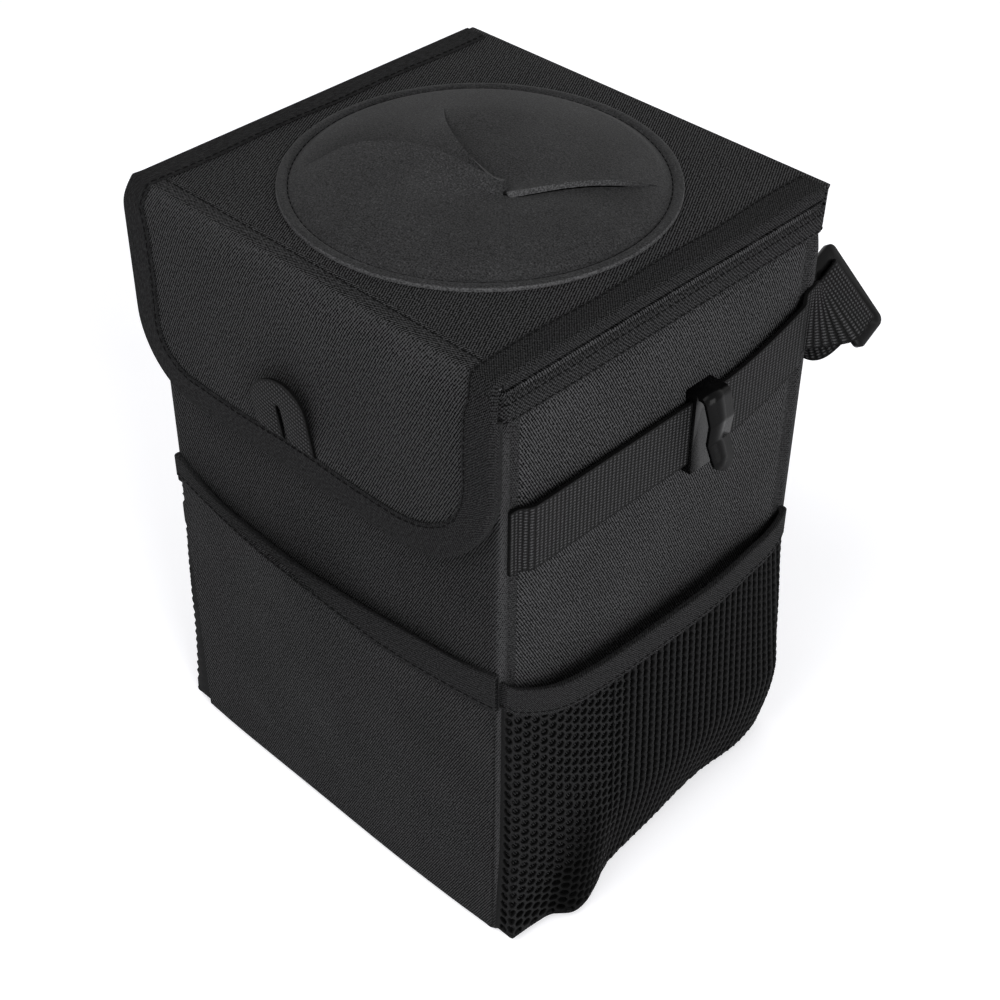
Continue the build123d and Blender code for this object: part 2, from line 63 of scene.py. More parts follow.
def span(node):
    """Lowest and highest corner of a CAD node, in millimetres."""
    low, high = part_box(node)
    return np.array(low) / METRES, np.array(high) / METRES


def hinge(name):
    """A point on a hinge's axis, in millimetres."""
    joints = frame["record"]["behaviour"]["joints"]
    return np.array([joint for joint in joints if joint["name"] == name][0]["pos_m"]) / METRES


# Sizes and places that the frame gives
half_width = span("front_panel")[1][0]
half_depth = -span("front_panel")[0][1]
wall_top = span("front_panel")[1][2]
seam_line = span("right_panel")[1][1]
field_face = span("right_panel")[1][0]
rim_low, rim_high = span("rim_binding")
liner_low, liner_high = span("inner_liner")
lid_top = span("lid_skin")[1][2]
lid_front, lid_back = span("lid_board")[0][1], span("lid_board")[1][1]
lid_under = span("lid_lining")[0][2]
chute_low, chute_high = span("chute_disc")
chute_middle = (chute_low[1] + chute_high[1]) / 2
chute_radius = chute_high[0]
chute_margin = 25.0
chute_hole = half_width - chute_margin
flap_low, flap_high = span("flap_skin")
flap_lining_high = span("flap_lining")[1]
flap_face = -flap_low[1]
flap_half = flap_high[0]
flap_bottom = flap_low[2]
pocket_low, pocket_high = span("front_pocket")
pocket_tape_top = span("front_pocket_binding")[1][2]
net_low, net_high = span("right_mesh_pocket")
net_tape_top = span("right_mesh_binding")[1][2]
strap_low, strap_high = span("left_strap")
hanging_left = span("hanging_strap")[0][0]
back_fold = hinge("lid_hinge")

# Cloth and tape
cloth = 1.0
lining = 0.6
tape = 0.8
webbing_width = 25.0
webbing_thick = 1.2
corner_radius = 3.0
wall_stack = lid_top - lid_under
ripple = 0.35

# Looks of the folds and edges
fold_lean = 3.4
fold_reach = 12.0
hem_rise = 0.3
hem_groove = 0.3
hem_row = -5.4
flap_left_radius = 28.0
flap_right_radius = 42.0
lid_seam = 7.0
edge_tape_width = 9.4
flap_tape_width = 11.4
corner_roll = 0.8
roll_inset = 0.6
roll_width = 0.9
roll_below_rim = 2.0
roll_fade = 4.0
corner_slack = 0.1
calm_edge = 20.0
ridge_highlight_tone = 0.35
field_crown = 0.9
flare_start = -4.0
flare_length = 14.0

# Webbing ribs and beads
rib_pitch = 1.8
bead_pitch = 1.15
rib_height = 0.2
rib_fade = 2.0
dark_edge_width = 0.9
webbing_step = 0.55

# Stitches
stitch_pitch = 3.1
stitch_length = 2.4
stitch_radius = 0.24
stitch_sides = 6
stitch_look = 0.3

# Places along half a stitch, and its swell and its lift there in radii
stitch_rings = [(-1, 0.3, -0.5), (-0.72, 0.9, 0.1), (0, 1.0, 0.35), (0.72, 0.9, 0.1), (1, 0.3, -0.5)]


# Lines and surfaces as points

TINY = 1e-9


def unit(vectors):
    """The same directions, each with a length of 1."""
    return vectors / np.maximum(np.linalg.norm(vectors, axis=-1, keepdims=True), TINY)


def grid_of(x, y, z):
    """Points from their three places, spread to one shape."""
    return np.stack(np.broadcast_arrays(x, y, z), -1)


def run_of(line):
    """Lengths along a line of points, from 0 at its first one."""
    return np.concatenate([[0], np.cumsum(np.linalg.norm(np.diff(line, axis=0), axis=1))])


def length_of(line):
    """Length of a line of points."""
    return run_of(line)[-1]


def along_run(places, run, rows):
    """The rows that lie at places along the run of the given rows."""
    return np.stack([np.interp(places, run, column) for column in rows.T], 1)


def even(points, count):
    """The same line as count evenly spaced points."""
    run = run_of(points)
    return along_run(np.linspace(0, run[-1], count), run, points)


def closed(line):
    """The line with its first point again at its end."""
    return np.concatenate([line, line[:1]])


def normals(points, wrap):
    """Directions off the face of a grid, whose first axis may close on itself."""
    along = np.roll(points, -1, 0) - np.roll(points, 1, 0) if wrap else np.gradient(points, axis=0)
    return unit(np.cross(along, np.gradient(points, axis=1)))


def laid_flat(points):
    """Distance in millimetres along both axes of a grid, which is where its weave lies."""
    along = np.linalg.norm(np.diff(points, axis=0), axis=2)
    across = np.linalg.norm(np.diff(points, axis=1), axis=2)
    u = np.concatenate([np.zeros((1, points.shape[1])), np.cumsum(along, 0)])
    v = np.concatenate([np.zeros((points.shape[0], 1)), np.cumsum(across, 1)], 1)
    return np.stack([u, v], 2)


def shell(points, thick, wrap=False, weave=None, relief=None, base=None):
    """A closed sheet whose face is the grid of points, and whose back lies thick behind it or its base."""
    n, m = points.shape[:2]
    base = points if base is None else base
    back = base - normals(base, wrap) * thick
    verts = np.concatenate([points.reshape(-1, 3), back.reshape(-1, 3)])
    rows = n if wrap else n - 1
    i, j = np.meshgrid(np.arange(rows), np.arange(m - 1), indexing="ij")
    a = (i * m + j).ravel()
    b = ((i + 1) % n * m + j).ravel()
    far = n * m
    quads = [np.stack([a, b, b + 1, a + 1], 1), np.stack([a, a + 1, b + 1, b], 1) + far]
    start = np.arange(rows) * m
    after = (np.arange(rows) + 1) % n * m
    quads.append(np.stack([start, start + far, after + far, after], 1))
    start, after = start + m - 1, after + m - 1
    quads.append(np.stack([start, after, after + far, start + far], 1))
    if not wrap:
        side = np.arange(m - 1)
        quads.append(np.stack([side, side + 1, side + 1 + far, side + far], 1))
        side = side + (n - 1) * m
        quads.append(np.stack([side, side + far, side + 1 + far, side + 1], 1))
    flat = (laid_flat(points) if weave is None else weave).reshape(-1, 2)
    height = np.ones(n * m) if relief is None else relief.ravel()
    return verts, np.concatenate(quads), np.tile(flat, (2, 1)), np.tile(height, 2)


def add_object(name, data):
    """Adds an object to the scene."""
    made = bpy.data.objects.new(name, data)
    bpy.context.scene.collection.objects.link(made)
    return made


def build(name, patches, material, sharp=45):
    """One mesh object from several patches of points, faces, weave places and relief."""
    verts, faces, weave, relief = [], [], [], []
    offset = 0
    for patch in patches:
        verts.append(patch[0])
        faces += [tuple(int(v) + offset for v in face) for face in patch[1]]
        weave.append(patch[2])
        relief.append(patch[3])
        offset += len(patch[0])
    mesh = bpy.data.meshes.new(name)
    mesh.from_pydata((np.concatenate(verts) * METRES).tolist(), [], faces)
    layer = mesh.uv_layers.new(name="weave")
    corners = np.zeros(len(mesh.loops), np.int32)
    mesh.loops.foreach_get("vertex_index", corners)
    layer.data.foreach_set("uv", np.concatenate(weave)[corners].astype(np.float32).ravel())
    height = mesh.attributes.new("relief", "FLOAT", "POINT")
    height.data.foreach_set("value", np.concatenate(relief).astype(np.float32))
    mesh.materials.append(material)
    mesh.shade_smooth()
    mesh.set_sharp_from_angle(angle=radians(sharp))
    return add_object(name, mesh)


def dress(piece, body, slot, *nodes):
    """Lets a piece ride on a body and stand for its CAD nodes."""
    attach(piece, body)
    if nodes:
        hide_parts(*nodes)
    return piece


def add(name, patches, material, body, slot, *nodes, sharp=45):
    """Builds a piece that rides on a body and stands for CAD nodes."""
    return dress(build(name, patches, material, sharp), body, slot, *nodes)


def sheet(width, length):
    """Works out a cut cloth's sizes, given in millimetres, in metres, and keeps nothing."""
    flat = (width * METRES, length * METRES)


def mirrored(patch):
    """The same patch on the other side of the bin."""
    verts, faces, weave, relief = patch
    return verts * (-1, 1, 1), [face[::-1] for face in faces], weave * (-1, 1), relief


def smooth(value):
    """Rises smoothly from 0 to 1 as the value does."""
    value = np.clip(value, 0, 1)
    return value * value * (3 - 2 * value)


def through(points, steps):
    """Smooth curve through the points, with a number of steps between each pair."""
    points = np.asarray(points, float)
    padded = np.concatenate([2 * points[:1] - points[1:2], points, 2 * points[-1:] - points[-2:-1]])
    curve = []
    for p0, p1, p2, p3 in zip(padded, padded[1:], padded[2:], padded[3:]):
        for t in np.arange(steps) / steps:
            bend = 2 * p0 - 5 * p1 + 4 * p2 - p3
            twist = 3 * p1 - p0 - 3 * p2 + p3
            curve.append(p1 + ((p2 - p0) * t + bend * t**2 + twist * t**3) / 2)
    return np.array(curve + [points[-1]])


def at(grid, a, b):
    """Points of a grid at fractions a and b of its two axes."""
    n, m = grid.shape[:2]
    x, y = np.clip(a, 0, 1) * (n - 1), np.clip(b, 0, 1) * (m - 1)
    i, j = np.minimum(x.astype(int), n - 2), np.minimum(y.astype(int), m - 2)
    fx, fy = (x - i)[:, None], (y - j)[:, None]
    low = grid[i, j] * (1 - fx) + grid[i + 1, j] * fx
    high = grid[i, j + 1] * (1 - fx) + grid[i + 1, j + 1] * fx
    return low * (1 - fy) + high * fy


def waves(a, b, seed):
    """Slow uneven swell, between about -1 and 1, over two lengths in millimetres."""
    swell = 0
    for k in range(1, 4):
        swell = swell + sin(seed * k + k) * np.sin(a * 0.021 * k + seed * k) * np.cos(b * 0.027 * k - seed)
    return swell / 1.6


def stitches(path, facing, pitch=stitch_pitch):
    """A row of thread stitches along a path of points that faces a given way."""
    run = run_of(path)
    count = int(run[-1] / pitch)
    places = (np.arange(count) + 0.5) * run[-1] / count
    middle = along_run(places, run, path)
    along = unit(along_run(places + stitch_look, run, path) - along_run(places - stitch_look, run, path))
    side = unit(np.cross(along_run(places, run, facing), along))
    up = np.cross(along, side)
    verts = []
    for place, swell, lift in stitch_rings:
        for k in range(stitch_sides):
            turn = 2 * pi * k / stitch_sides
            out = side * cos(turn) * swell + up * (sin(turn) * swell + lift)
            verts.append(middle + along * place * stitch_length / 2 + out * stitch_radius)
    verts = np.stack(verts, 1).reshape(-1, 3)
    per = len(stitch_rings) * stitch_sides
    pattern = []
    for first in range(0, per - stitch_sides, stitch_sides):
        for k in range(stitch_sides):
            a, b = first + k, first + (k + 1) % stitch_sides
            pattern.append((b, b + stitch_sides, a + stitch_sides, a))
    pattern.append(tuple(range(stitch_sides))[::-1])
    pattern.append(tuple(range(per - stitch_sides, per)))
    faces = [tuple(v + s * per for v in face) for s in range(count) for face in pattern]
    return verts, faces, np.zeros((len(verts), 2)), np.ones(len(verts))


# Materials

blue_cast = 1.03


class Field:
    """A number or a place that nodes work out at every spot of a surface."""

    def __init__(self, nodes, socket):
        self.nodes = nodes
        self.socket = socket

    def __add__(self, other):
        return self.nodes.math("ADD", self, other)

    def __sub__(self, other):
        return self.nodes.math("SUBTRACT", self, other)

    def __mul__(self, other):
        return self.nodes.math("MULTIPLY", self, other)

    def __truediv__(self, other):
        return self.nodes.math("DIVIDE", self, other)


class Nodes:
    """Adds nodes to the tree of a material or of the world."""

    def __init__(self, tree):
        self.tree = tree

    def put(self, socket, value):
        """Links a field to a socket, or sets the socket to a plain value."""
        if isinstance(value, Field):
            self.tree.links.new(value.socket, socket)
        else:
            socket.default_value = value

    def node(self, kind, **inputs):
        made = self.tree.nodes.new("ShaderNode" + kind)
        for name, value in inputs.items():
            self.put(made.inputs[name], value)
        return made

    def math(self, operation, a, b=0.0):
        made = self.node("Math")
        made.operation = operation
        self.put(made.inputs[0], a)
        self.put(made.inputs[1], b)
        return Field(self, made.outputs[0])

    def between(self, value, low, high):
        """Runs from low to high as a field runs from 0 to 1."""
        made = self.node("MapRange", Value=value, **{"To Min": low, "To Max": high})
        return Field(self, made.outputs[0])

    def watched(self):
        """1 for rays from the camera, and for mirrored or passed-through ones, and 0 for the others."""
        rays = self.node("LightPath").outputs
        seen = Field(self, rays["Is Camera Ray"])
        for kind in ("Is Glossy Ray", "Is Transmission Ray"):
            seen = self.math("MAXIMUM", seen, Field(self, rays[kind]))
        return seen


class Finish(Nodes):
    """Builds one procedural material."""

    def __init__(self, name, roughness, sheen=0.0, specular=0.5):
        self.material = bpy.data.materials.new(name)
        self.material.use_nodes = True
        super().__init__(self.material.node_tree)
        self.surface = self.tree.nodes["Principled BSDF"].inputs
        self.surface["Roughness"].default_value = roughness
        self.surface["Specular IOR Level"].default_value = specular
        self.surface["Sheen Weight"].default_value = sheen
        self.surface["Sheen Roughness"].default_value = 0.45

    def weave_place(self):
        """The cloth's own two lengths in millimetres, and both as one place."""
        where = self.node("UVMap")
        where.uv_map = "weave"
        place = Field(self, where.outputs[0])
        parts = self.node("SeparateXYZ", Vector=place).outputs
        return Field(self, parts[0]), Field(self, parts[1]), place

    def relief(self):
        """How far a spot stands out of its cloth: 1 is level. The finishes make a spot paler where this is
        higher and darker where it is lower, which is painted highlight on ridges, folds and puffed petals and
        painted shade in creases and net hollows.
        """
        made = self.node("Attribute")
        made.attribute_name = "relief"
        return Field(self, made.outputs["Fac"])

    def object_place(self):
        return Field(self, self.node("TexCoord").outputs["Object"])

    def noise(self, place, scale, detail=2.0):
        made = self.node("TexNoise", Vector=place, Scale=scale, Detail=detail)
        return Field(self, made.outputs["Fac"])

    def swing(self, u, v, du, dv, shift=0.0):
        """A wave along a direction: the sine of u times du plus v times dv plus a shift."""
        return self.math("SINE", u * du + v * dv + shift)

    def colour(self, value, *stops):
        """Colours the surface along a field. Each stop is a place on it and the grey there."""
        made = self.node("ValToRGB")
        band = made.color_ramp
        for place, _ in stops[2:]:
            band.elements.new(place)
        for element, (place, grey) in zip(band.elements, sorted(stops)):
            element.position = place
            element.color = (grey, grey, grey * blue_cast, 1)
        self.put(made.inputs[0], value)
        self.put(self.surface["Base Color"], Field(self, made.outputs[0]))

    def bump(self, height, distance, strength):
        made = self.node("Bump", Height=height, Strength=strength, Distance=distance * METRES)
        self.put(self.surface["Normal"], Field(self, made.outputs[0]))

    def rough(self, value, low, high):
        self.put(self.surface["Roughness"], self.between(value, low, high))


def oxford(name, period, contrast, dark, light):
    """Oxford cloth with a diagonal twill of the given period, with painted highlight where its relief marks a
    ridge or the band below the front fold.
    """
    made = Finish(name, 0.8, specular=0.05)
    u, v, place = made.weave_place()
    turn = 2 * pi / period
    drift = made.noise(place, 0.5) * 2.6
    lines = made.swing(u, v, turn * 0.88, -turn * 0.47, drift)
    knots = made.swing(u, v, turn * 0.42, turn * 0.9, drift)
    speck = made.noise(place, 1.15, 3.0) - 0.5
    cloud = made.noise(place, 0.03) - 0.5
    height = lines * 0.46 + knots * 0.2 + speck * 2.4
    tone = height * contrast + cloud * 0.3 + (made.relief() - 0.5)
    made.colour(tone, (0.15, dark), (0.5, dark + (light - dark) * 0.3), (0.9, light))
    made.bump(height, 0.25, 0.8)
    made.rough(tone, 0.92, 0.7)
    return made.material


def woven_tape(name, period, dark, light):
    """Plain-woven binding tape."""
    made = Finish(name, 0.85, specular=0.05)
    u, v, place = made.weave_place()
    turn = 2 * pi / period
    drift = made.noise(place, 0.6) * 2.0
    grid = made.swing(u, v, turn, 0.0, drift) * made.swing(u, v, 0.0, turn, drift)
    speck = made.noise(place, 1.5, 3.0) - 0.5
    height = grid * 0.5 + speck * 2.2
    tone = height + 0.5
    made.colour(tone, (0.1, dark), (0.5, dark + (light - dark) * 0.3), (0.95, light))
    made.bump(height, 0.25, 0.8)
    made.rough(tone, 0.95, 0.7)
    return made.material


def yarn(name, dark, light):
    """Net or hook tape, with painted shade in the hollows of its relief."""
    made = Finish(name, 0.75, specular=0.05)
    _, _, place = made.weave_place()
    fibre = made.noise(place, 2.0, 3.0)
    tone = made.relief() + (fibre - 0.6) * 1.2
    made.colour(tone, (0.3, dark), (0.7, (dark + light) / 3), (1.0, light))
    made.bump(fibre, 0.12, 0.6)
    made.rough(fibre, 0.6, 0.9)
    return made.material


def ribbed(name, dark, light):
    """Webbing with columns of beads across it, with painted shade in the gaps between the beads."""
    made = Finish(name, 0.7, specular=0.08)
    u, v, place = made.weave_place()
    fibre = made.noise(place, 2.6, 3.0)
    column = (u + fibre * 0.35) / rib_pitch
    rib = made.math("ABSOLUTE", made.math("SINE", column * pi))
    stagger = made.math("FLOOR", column) * 0.5
    bead = made.math("COSINE", (v / bead_pitch + stagger) * (2 * pi))
    # Painted shade: the colour follows the beads, dark in the gaps between them
    height = rib * (bead * 0.32 + 0.68) * made.relief()
    tone = height + (fibre - 0.5) * 1.3
    made.colour(tone, (0.2, dark), (0.6, light * 0.2), (1.0, light))
    made.bump(tone, 0.3, 0.7)
    made.rough(fibre, 0.55, 0.85)
    return made.material


def neoprene(name, dark, light, cut):
    """Knit-faced foam rubber, paler where its relief marks a cut edge, with painted highlight where its
    relief rises on a puffed petal and painted shade where it falls in a crease.
    """
    made = Finish(name, 0.75, sheen=0.03, specular=0.06)
    place = made.object_place()
    pile = made.noise(place, 1900.0, 4.0) - 0.5
    cloud = made.noise(place, 50.0) - 0.5
    tone = pile * 2.0 + cloud * 0.3 + (made.relief() - 1.0) * 0.5 + 0.4
    made.colour(tone, (0.1, dark), (0.4, (dark + light) / 2), (0.7, light), (1.0, cut))
    made.bump(pile, 0.2, 0.7)
    made.rough(pile, 0.65, 0.85)
    return made.material


def spun_thread(name, grey):
    """Dull sewing thread with fine twisted strands."""
    made = Finish(name, 0.9, specular=0.05)
    strand = made.noise(made.object_place(), 4000.0)
    made.colour(strand, (0.3, grey * 0.4), (0.7, grey * 1.6))
    made.bump(strand, 0.03, 0.5)
    made.rough(strand, 0.8, 0.95)
    return made.material


def moulded(name, grey, low, high, specular):
    """Moulded plastic with a fine uneven gloss."""
    made = Finish(name, low, specular=specular)
    place = made.object_place()
    grain = made.noise(place, 900.0, 3.0)
    cloud = made.noise(place, 60.0)
    tone = grain * 0.3 + cloud * 0.7
    made.colour(tone, (0.2, grey * 0.7), (0.5, grey), (0.8, grey * 1.5))
    made.bump(grain, 0.02, 0.4)
    made.rough(cloud, low, high)
    return made.material


def coated(name, dark, light):
    """Coated lining: a smooth film over a fine weave."""
    made = Finish(name, 0.45, specular=0.45)
    u, v, place = made.weave_place()
    turn = 2 * pi / 0.9
    film = made.noise(place, 0.08, 3.0)
    height = made.swing(u, v, turn, 0.0) * made.swing(u, v, 0.0, turn) * 0.2 + film
    made.colour(height, (0.1, dark), (0.5, (dark + light) / 2), (0.9, light))
    made.bump(height, 0.15, 0.4)
    made.rough(film, 0.35, 0.6)
    return made.material


# Copies of one oxford cloth: the side copy is painted paler and the front and back copy darker than the lid
# and flap copy, as painted light and shade for faces that the lamps light more and less
flap_black = oxford("oxford_flap_cloth", 0.86, 1.25, 0.0005, 0.044)
wall_black = oxford("oxford_front_cloth", 0.80, 0.95, 0.0005, 0.036)
side_black = oxford("oxford_side_cloth", 0.86, 0.95, 0.0005, 0.052)
tape_black = woven_tape("binding_tape", 1.0, 0.0005, 0.028)
pocket_tape_black = woven_tape("pocket_binding_tape", 0.8, 0.003, 0.027)
rim_black = woven_tape("rim_binding_tape", 1.35, 0.0005, 0.032)
webbing_black = ribbed("ribbed_webbing", 0.0005, 0.050)
net_black = yarn("pocket_net", 0.0005, 0.0125)
neoprene_grey = neoprene("neoprene", 0.007, 0.031, 0.07)
thread_black = spun_thread("sewing_thread", 0.003)
clip_black = moulded("clip_gloss", 0.002, 0.16, 0.26, 0.06)
buckle_black = moulded("buckle_satin", 0.002, 0.25, 0.40, 0.08)
board_grey = moulded("board_plastic", 0.01, 0.5, 0.7, 0.05)
lining_black = coated("coated_lining", 0.012, 0.035)
hook_black = yarn("hook_and_loop", 0.004, 0.05)


# Walls

straight_steps = 36
turn_steps = 8


def loop_plan(half_x, half_y, radius):
    """Points round a rectangle with round corners, always in the same order and number."""
    centres = np.array([(1, -1), (1, 1), (-1, 1), (-1, -1)]) * (half_x - radius, half_y - radius)
    share = np.arange(1, straight_steps)[:, None] / straight_steps
    points = []
    for k, centre in enumerate(centres):
        angle = pi / 2 * (k - 1 + np.arange(turn_steps + 1) / turn_steps)
        arc = radius * np.stack([np.cos(angle), np.sin(angle)], 1)
        ahead = centres[(k + 1) % len(centres)] - centre
        points += [centre + arc, centre + arc[-1] + ahead * share]
    return np.concatenate(points)


def wrap_wall(front):
    """Front or back cloth, from one side seam round two corners to the other seam."""
    flat_x, flat_y = half_width - corner_radius, half_depth - corner_radius
    turn = np.linspace(0, pi / 2, 9)
    left = [(-half_width, y) for y in np.linspace(-seam_line, -flat_y, 5)[:-1]]
    left += [(-flat_x - corner_radius * cos(t), -flat_y - corner_radius * sin(t)) for t in turn]
    flat = [(x, -half_depth) for x in np.linspace(-flat_x, flat_x, 70)[1:-1]]
    x, y = np.array(left + flat + [(-x, y) for x, y in left[::-1]]).T[:, :, None]
    z = np.linspace(cloth, wall_top, 80)
    points = grid_of(x, y, z)
    roll = corner_roll * np.exp(-(((np.abs(x) - half_width + roll_inset) / roll_width) ** 2))
    roll = roll * (y < corner_slack - flat_y) * smooth((rim_low[2] - roll_below_rim - z) / roll_fade)
    middle = smooth((half_width - np.abs(x)) / calm_edge)
    swell = waves(x, z, 1.3 if front else 2.1) * ripple * middle
    points += normals(points, False) * (roll + swell)[:, :, None]
    # Painted highlight along the corner ridge: the relief is raised there, which the oxford finish turns
    # paler
    ridge_highlight = 1 + ridge_highlight_tone * roll / corner_roll
    if not front:
        points = points[::-1] * (1, -1, 1)
    return shell(points, cloth, relief=ridge_highlight)


wall_cut = 2 * half_width + 4 * (half_depth - seam_line)
for side in ("front", "back"):
    wall_patch = wrap_wall(side == "front")
    wall = add(side + "_cloth", [wall_patch], wall_black, "bin", "oxford_fabric", side + "_panel")
    sheet(wall_cut, wall_top)

field_above_tape = 4.0
field_below_rim = 1.4
field_low = pocket_tape_top + field_above_tape
field_high = rim_low[2] - field_below_rim
field_roll = 3.2
side_ripple_share = 0.25


def side_wall():
    """Right side cloth, with a padded field above the pocket."""
    y = np.linspace(-seam_line, seam_line, 90)[:, None]
    z = np.linspace(cloth, wall_top, 150)
    up = smooth((z - field_low) / field_roll) * smooth((field_high - z) / field_roll)
    over = smooth((seam_line - np.abs(y)) / field_roll)
    rise = (field_face - half_width) * over * up
    arch = np.sin(pi * np.clip((z - field_low) / (field_high - field_low), 0, 1))
    crown = field_crown * (1 - (y / seam_line) ** 2) * up * arch
    return grid_of(half_width + rise + crown + side_ripple_share * ripple * waves(y, z, 0.7), y, z)


def same(patch):
    """The patch as it is."""
    return patch


side_points = side_wall()
side_patch = shell(side_points, cloth, weave=laid_flat(side_points) * (-1, 1))
side_turns = {"right": same, "left": mirrored}
for side, turned in side_turns.items():
    wall = add(side + "_cloth", [turned(side_patch)], side_black, "bin", "oxford_fabric", side + "_panel")
    sheet(2 * seam_line, wall_top)


def plate(half_x, half_y, count):
    """Places across a flat rectangle."""
    share = np.linspace(-1, 1, count)
    return np.meshgrid(share * half_x, share * half_y, indexing="ij")


def base_sheet():
    """Bottom cloth, drawn in at its round corners."""
    x, y = plate(half_width, half_depth, 60)
    over_x = np.maximum(np.abs(x) - half_width + corner_radius, 0)
    over_y = np.maximum(np.abs(y) - half_depth + corner_radius, 0)
    reach = np.hypot(over_x, over_y)
    pull = np.where(reach > 0, np.maximum(over_x, over_y) / np.maximum(reach, TINY), 1) - 1
    return grid_of(x + np.sign(x) * over_x * pull, y + np.sign(y) * over_y * pull, 0.0)[::-1]


base = add("base_cloth", [shell(base_sheet(), cloth)], wall_black, "bin", "oxford_fabric", "base_panel")
sheet(2 * half_width, 2 * half_depth)


# Lining bag and rim tape

liner_corner = 4.0
liner_below_top = 1.0
liner_slack = 0.2
thin_lining = lining * 0.8
sewn_lining = lining * 0.9


def liner_patches():
    """Walls and floor of the lining bag."""
    half_x, half_y = liner_high[:2] - lining
    floor_z = liner_low[2] + lining
    plan = loop_plan(half_x, half_y, liner_corner)[::-1]
    x, y = plan.T[:, :, None]
    z = np.linspace(wall_top - liner_below_top, floor_z, 60)
    push = liner_slack + liner_slack * waves(x + y * 1.7, z, 0.4)
    inward_x, inward_y = -unit(plan).T[:, :, None]
    walls = grid_of(x + inward_x * push, y + inward_y * push, z)
    floor = grid_of(*plate(half_x, half_y, 30), floor_z)
    return [shell(walls[::-1], thin_lining, wrap=True), shell(floor, thin_lining)]


liner = add("liner_bag", liner_patches(), lining_black, "bin", "lining_cloth", "inner_liner")
liner_round = 4 * (liner_high[0] + liner_high[1])
sheet(liner_round, wall_top + half_depth)

rim_face_rows = 9
rim_stitch_rows = (1, 7)
rim_inner_corner = 1.0
rim_lift = 0.35


def rim_points():
    """Tape folded over the four walls: points round the rim and over its section."""
    outer = loop_plan(rim_high[0], rim_high[1], corner_radius + tape)
    inside = liner_high - lining - tape
    inner = loop_plan(inside[0], inside[1], rim_inner_corner)
    bottom, top = rim_low[2], rim_high[2]
    section = [(0, z) for z in np.linspace(bottom, top - 3.6, rim_face_rows)]
    section += [(0.08, top - 2.8), (0.25, top - 2.2), (0.42, top - 1.0), (0.62, top), (0.85, top - 0.3)]
    section += [(1, z) for z in np.linspace(top - 1.2, bottom, 7)]
    share, z = np.array(section).T
    x, y = outer.T[:, :, None] * (1 - share) + inner.T[:, :, None] * share
    points = grid_of(x, y, z)
    row = np.arange(len(section))
    lift = np.where(row < rim_face_rows, rim_lift * np.sin(pi * row / (rim_face_rows - 1)), 0)
    place = np.arange(len(outer))
    pucker = 0.18 * np.sin(place * 2.1) + 0.14 * np.sin(place * 0.9)
    return points + normals(points, True) * (lift * (1 + pucker[:, None]))[:, :, None]


rim = rim_points()
rim_tape = add("rim_tape", [shell(rim, tape, wrap=True)], rim_black, "bin", "binding_tape", "rim_binding")
rim_facing = normals(rim, True)
rim_rows = [stitches(closed(rim[:, k]), closed(rim_facing[:, k])) for k in rim_stitch_rows]
rim_thread = add("rim_stitches", rim_rows, thread_black, "bin", "binding_tape")
rim_cut = 2 * (rim_high[2] - rim_low[2]) + wall_stack
sheet(4 * (half_width + half_depth), rim_cut)


# Front pocket

pocket_half = pocket_high[0]
pocket_bow = -half_depth - pocket_low[1] - cloth
pocket_foot_bow = 1.2
pocket_mouth = 2.8
pocket_swell = 0.5
pocket_calm = 15.0
pocket_calm_top = 0.2
tape_overlap = 1.5
tape_lean = 0.6

# Heights of the tape's upper and lower edge along the pocket
tape_upper = [
    (-80.5, 130.5), (-66, 125.6), (-50, 122.8), (-18, 121.2),
    (9, 122.4), (42, 125.2), (67, 127.2), (80.5, 130),
]
tape_lower = [(-80.5, 121), (-40, 119.6), (0, 118.4), (40, 114.6), (80.5, 114)]


def pocket_line(places, x):
    """Height of one edge of the pocket's tape at places across it."""
    curve = through(places, 12)
    return np.interp(x, curve[:, 0], curve[:, 1])


def pocket_face(x, rise):
    """Point on the front pocket: rise is the share of the way up from its floor to its tape."""
    middle = 1 - (x / pocket_half) ** 2
    z = pocket_low[2] + (pocket_line(tape_lower, x) + tape_overlap - pocket_low[2]) * rise
    bow = pocket_foot_bow + (pocket_bow - pocket_foot_bow) * rise**1.3
    calm = smooth((pocket_half - np.abs(x)) / pocket_calm)
    swell = pocket_swell * waves(x, z, 0.9) * calm * smooth((1 - rise) / pocket_calm_top)
    y = -half_depth - cloth - bow * middle - swell
    return grid_of(x, y, z)


def pocket_tape_face(drop, out):
    """Line of the pocket's tape: drop is the share of the way down from its upper edge."""
    x = pocket_x * half_width / pocket_half
    middle = np.maximum(1 - (x / pocket_half) ** 2, 0)
    upper, lower = pocket_line(tape_upper, x), pocket_line(tape_lower, x)
    lean = smooth(middle / 0.5)
    bow = pocket_mouth + (pocket_bow - pocket_mouth) * np.clip(drop, 0, 1) ** 0.8
    z = upper + (lower - upper) * drop + tape_lean * out * lean
    return grid_of(x, -half_depth - cloth - bow * middle - out, z)


pocket_x = np.linspace(-pocket_half, pocket_half, 110)
pocket_patch = shell(pocket_face(pocket_x[:, None], np.linspace(0, 1, 70)), cloth)
front_pocket = add("front_pocket_cloth", [pocket_patch], wall_black, "bin", "oxford_fabric", "front_pocket")


def folded_edge(face, width, stack):
    """Grid of a tape folded over the top edge of a sheet.

    face gives the points of the tape's outer side from the drop below the edge and a distance out.
    """
    columns = [face(d, tape) for d in np.linspace(width, 0.05 * width, 8)]
    columns += [face(0, tape * 0.6), face(-0.02 * width, -stack / 2), face(0, -stack - tape * 0.6)]
    columns += [face(d, -stack - tape) for d in np.linspace(0.05 * width, width, 6)]
    return np.stack(columns, 1)


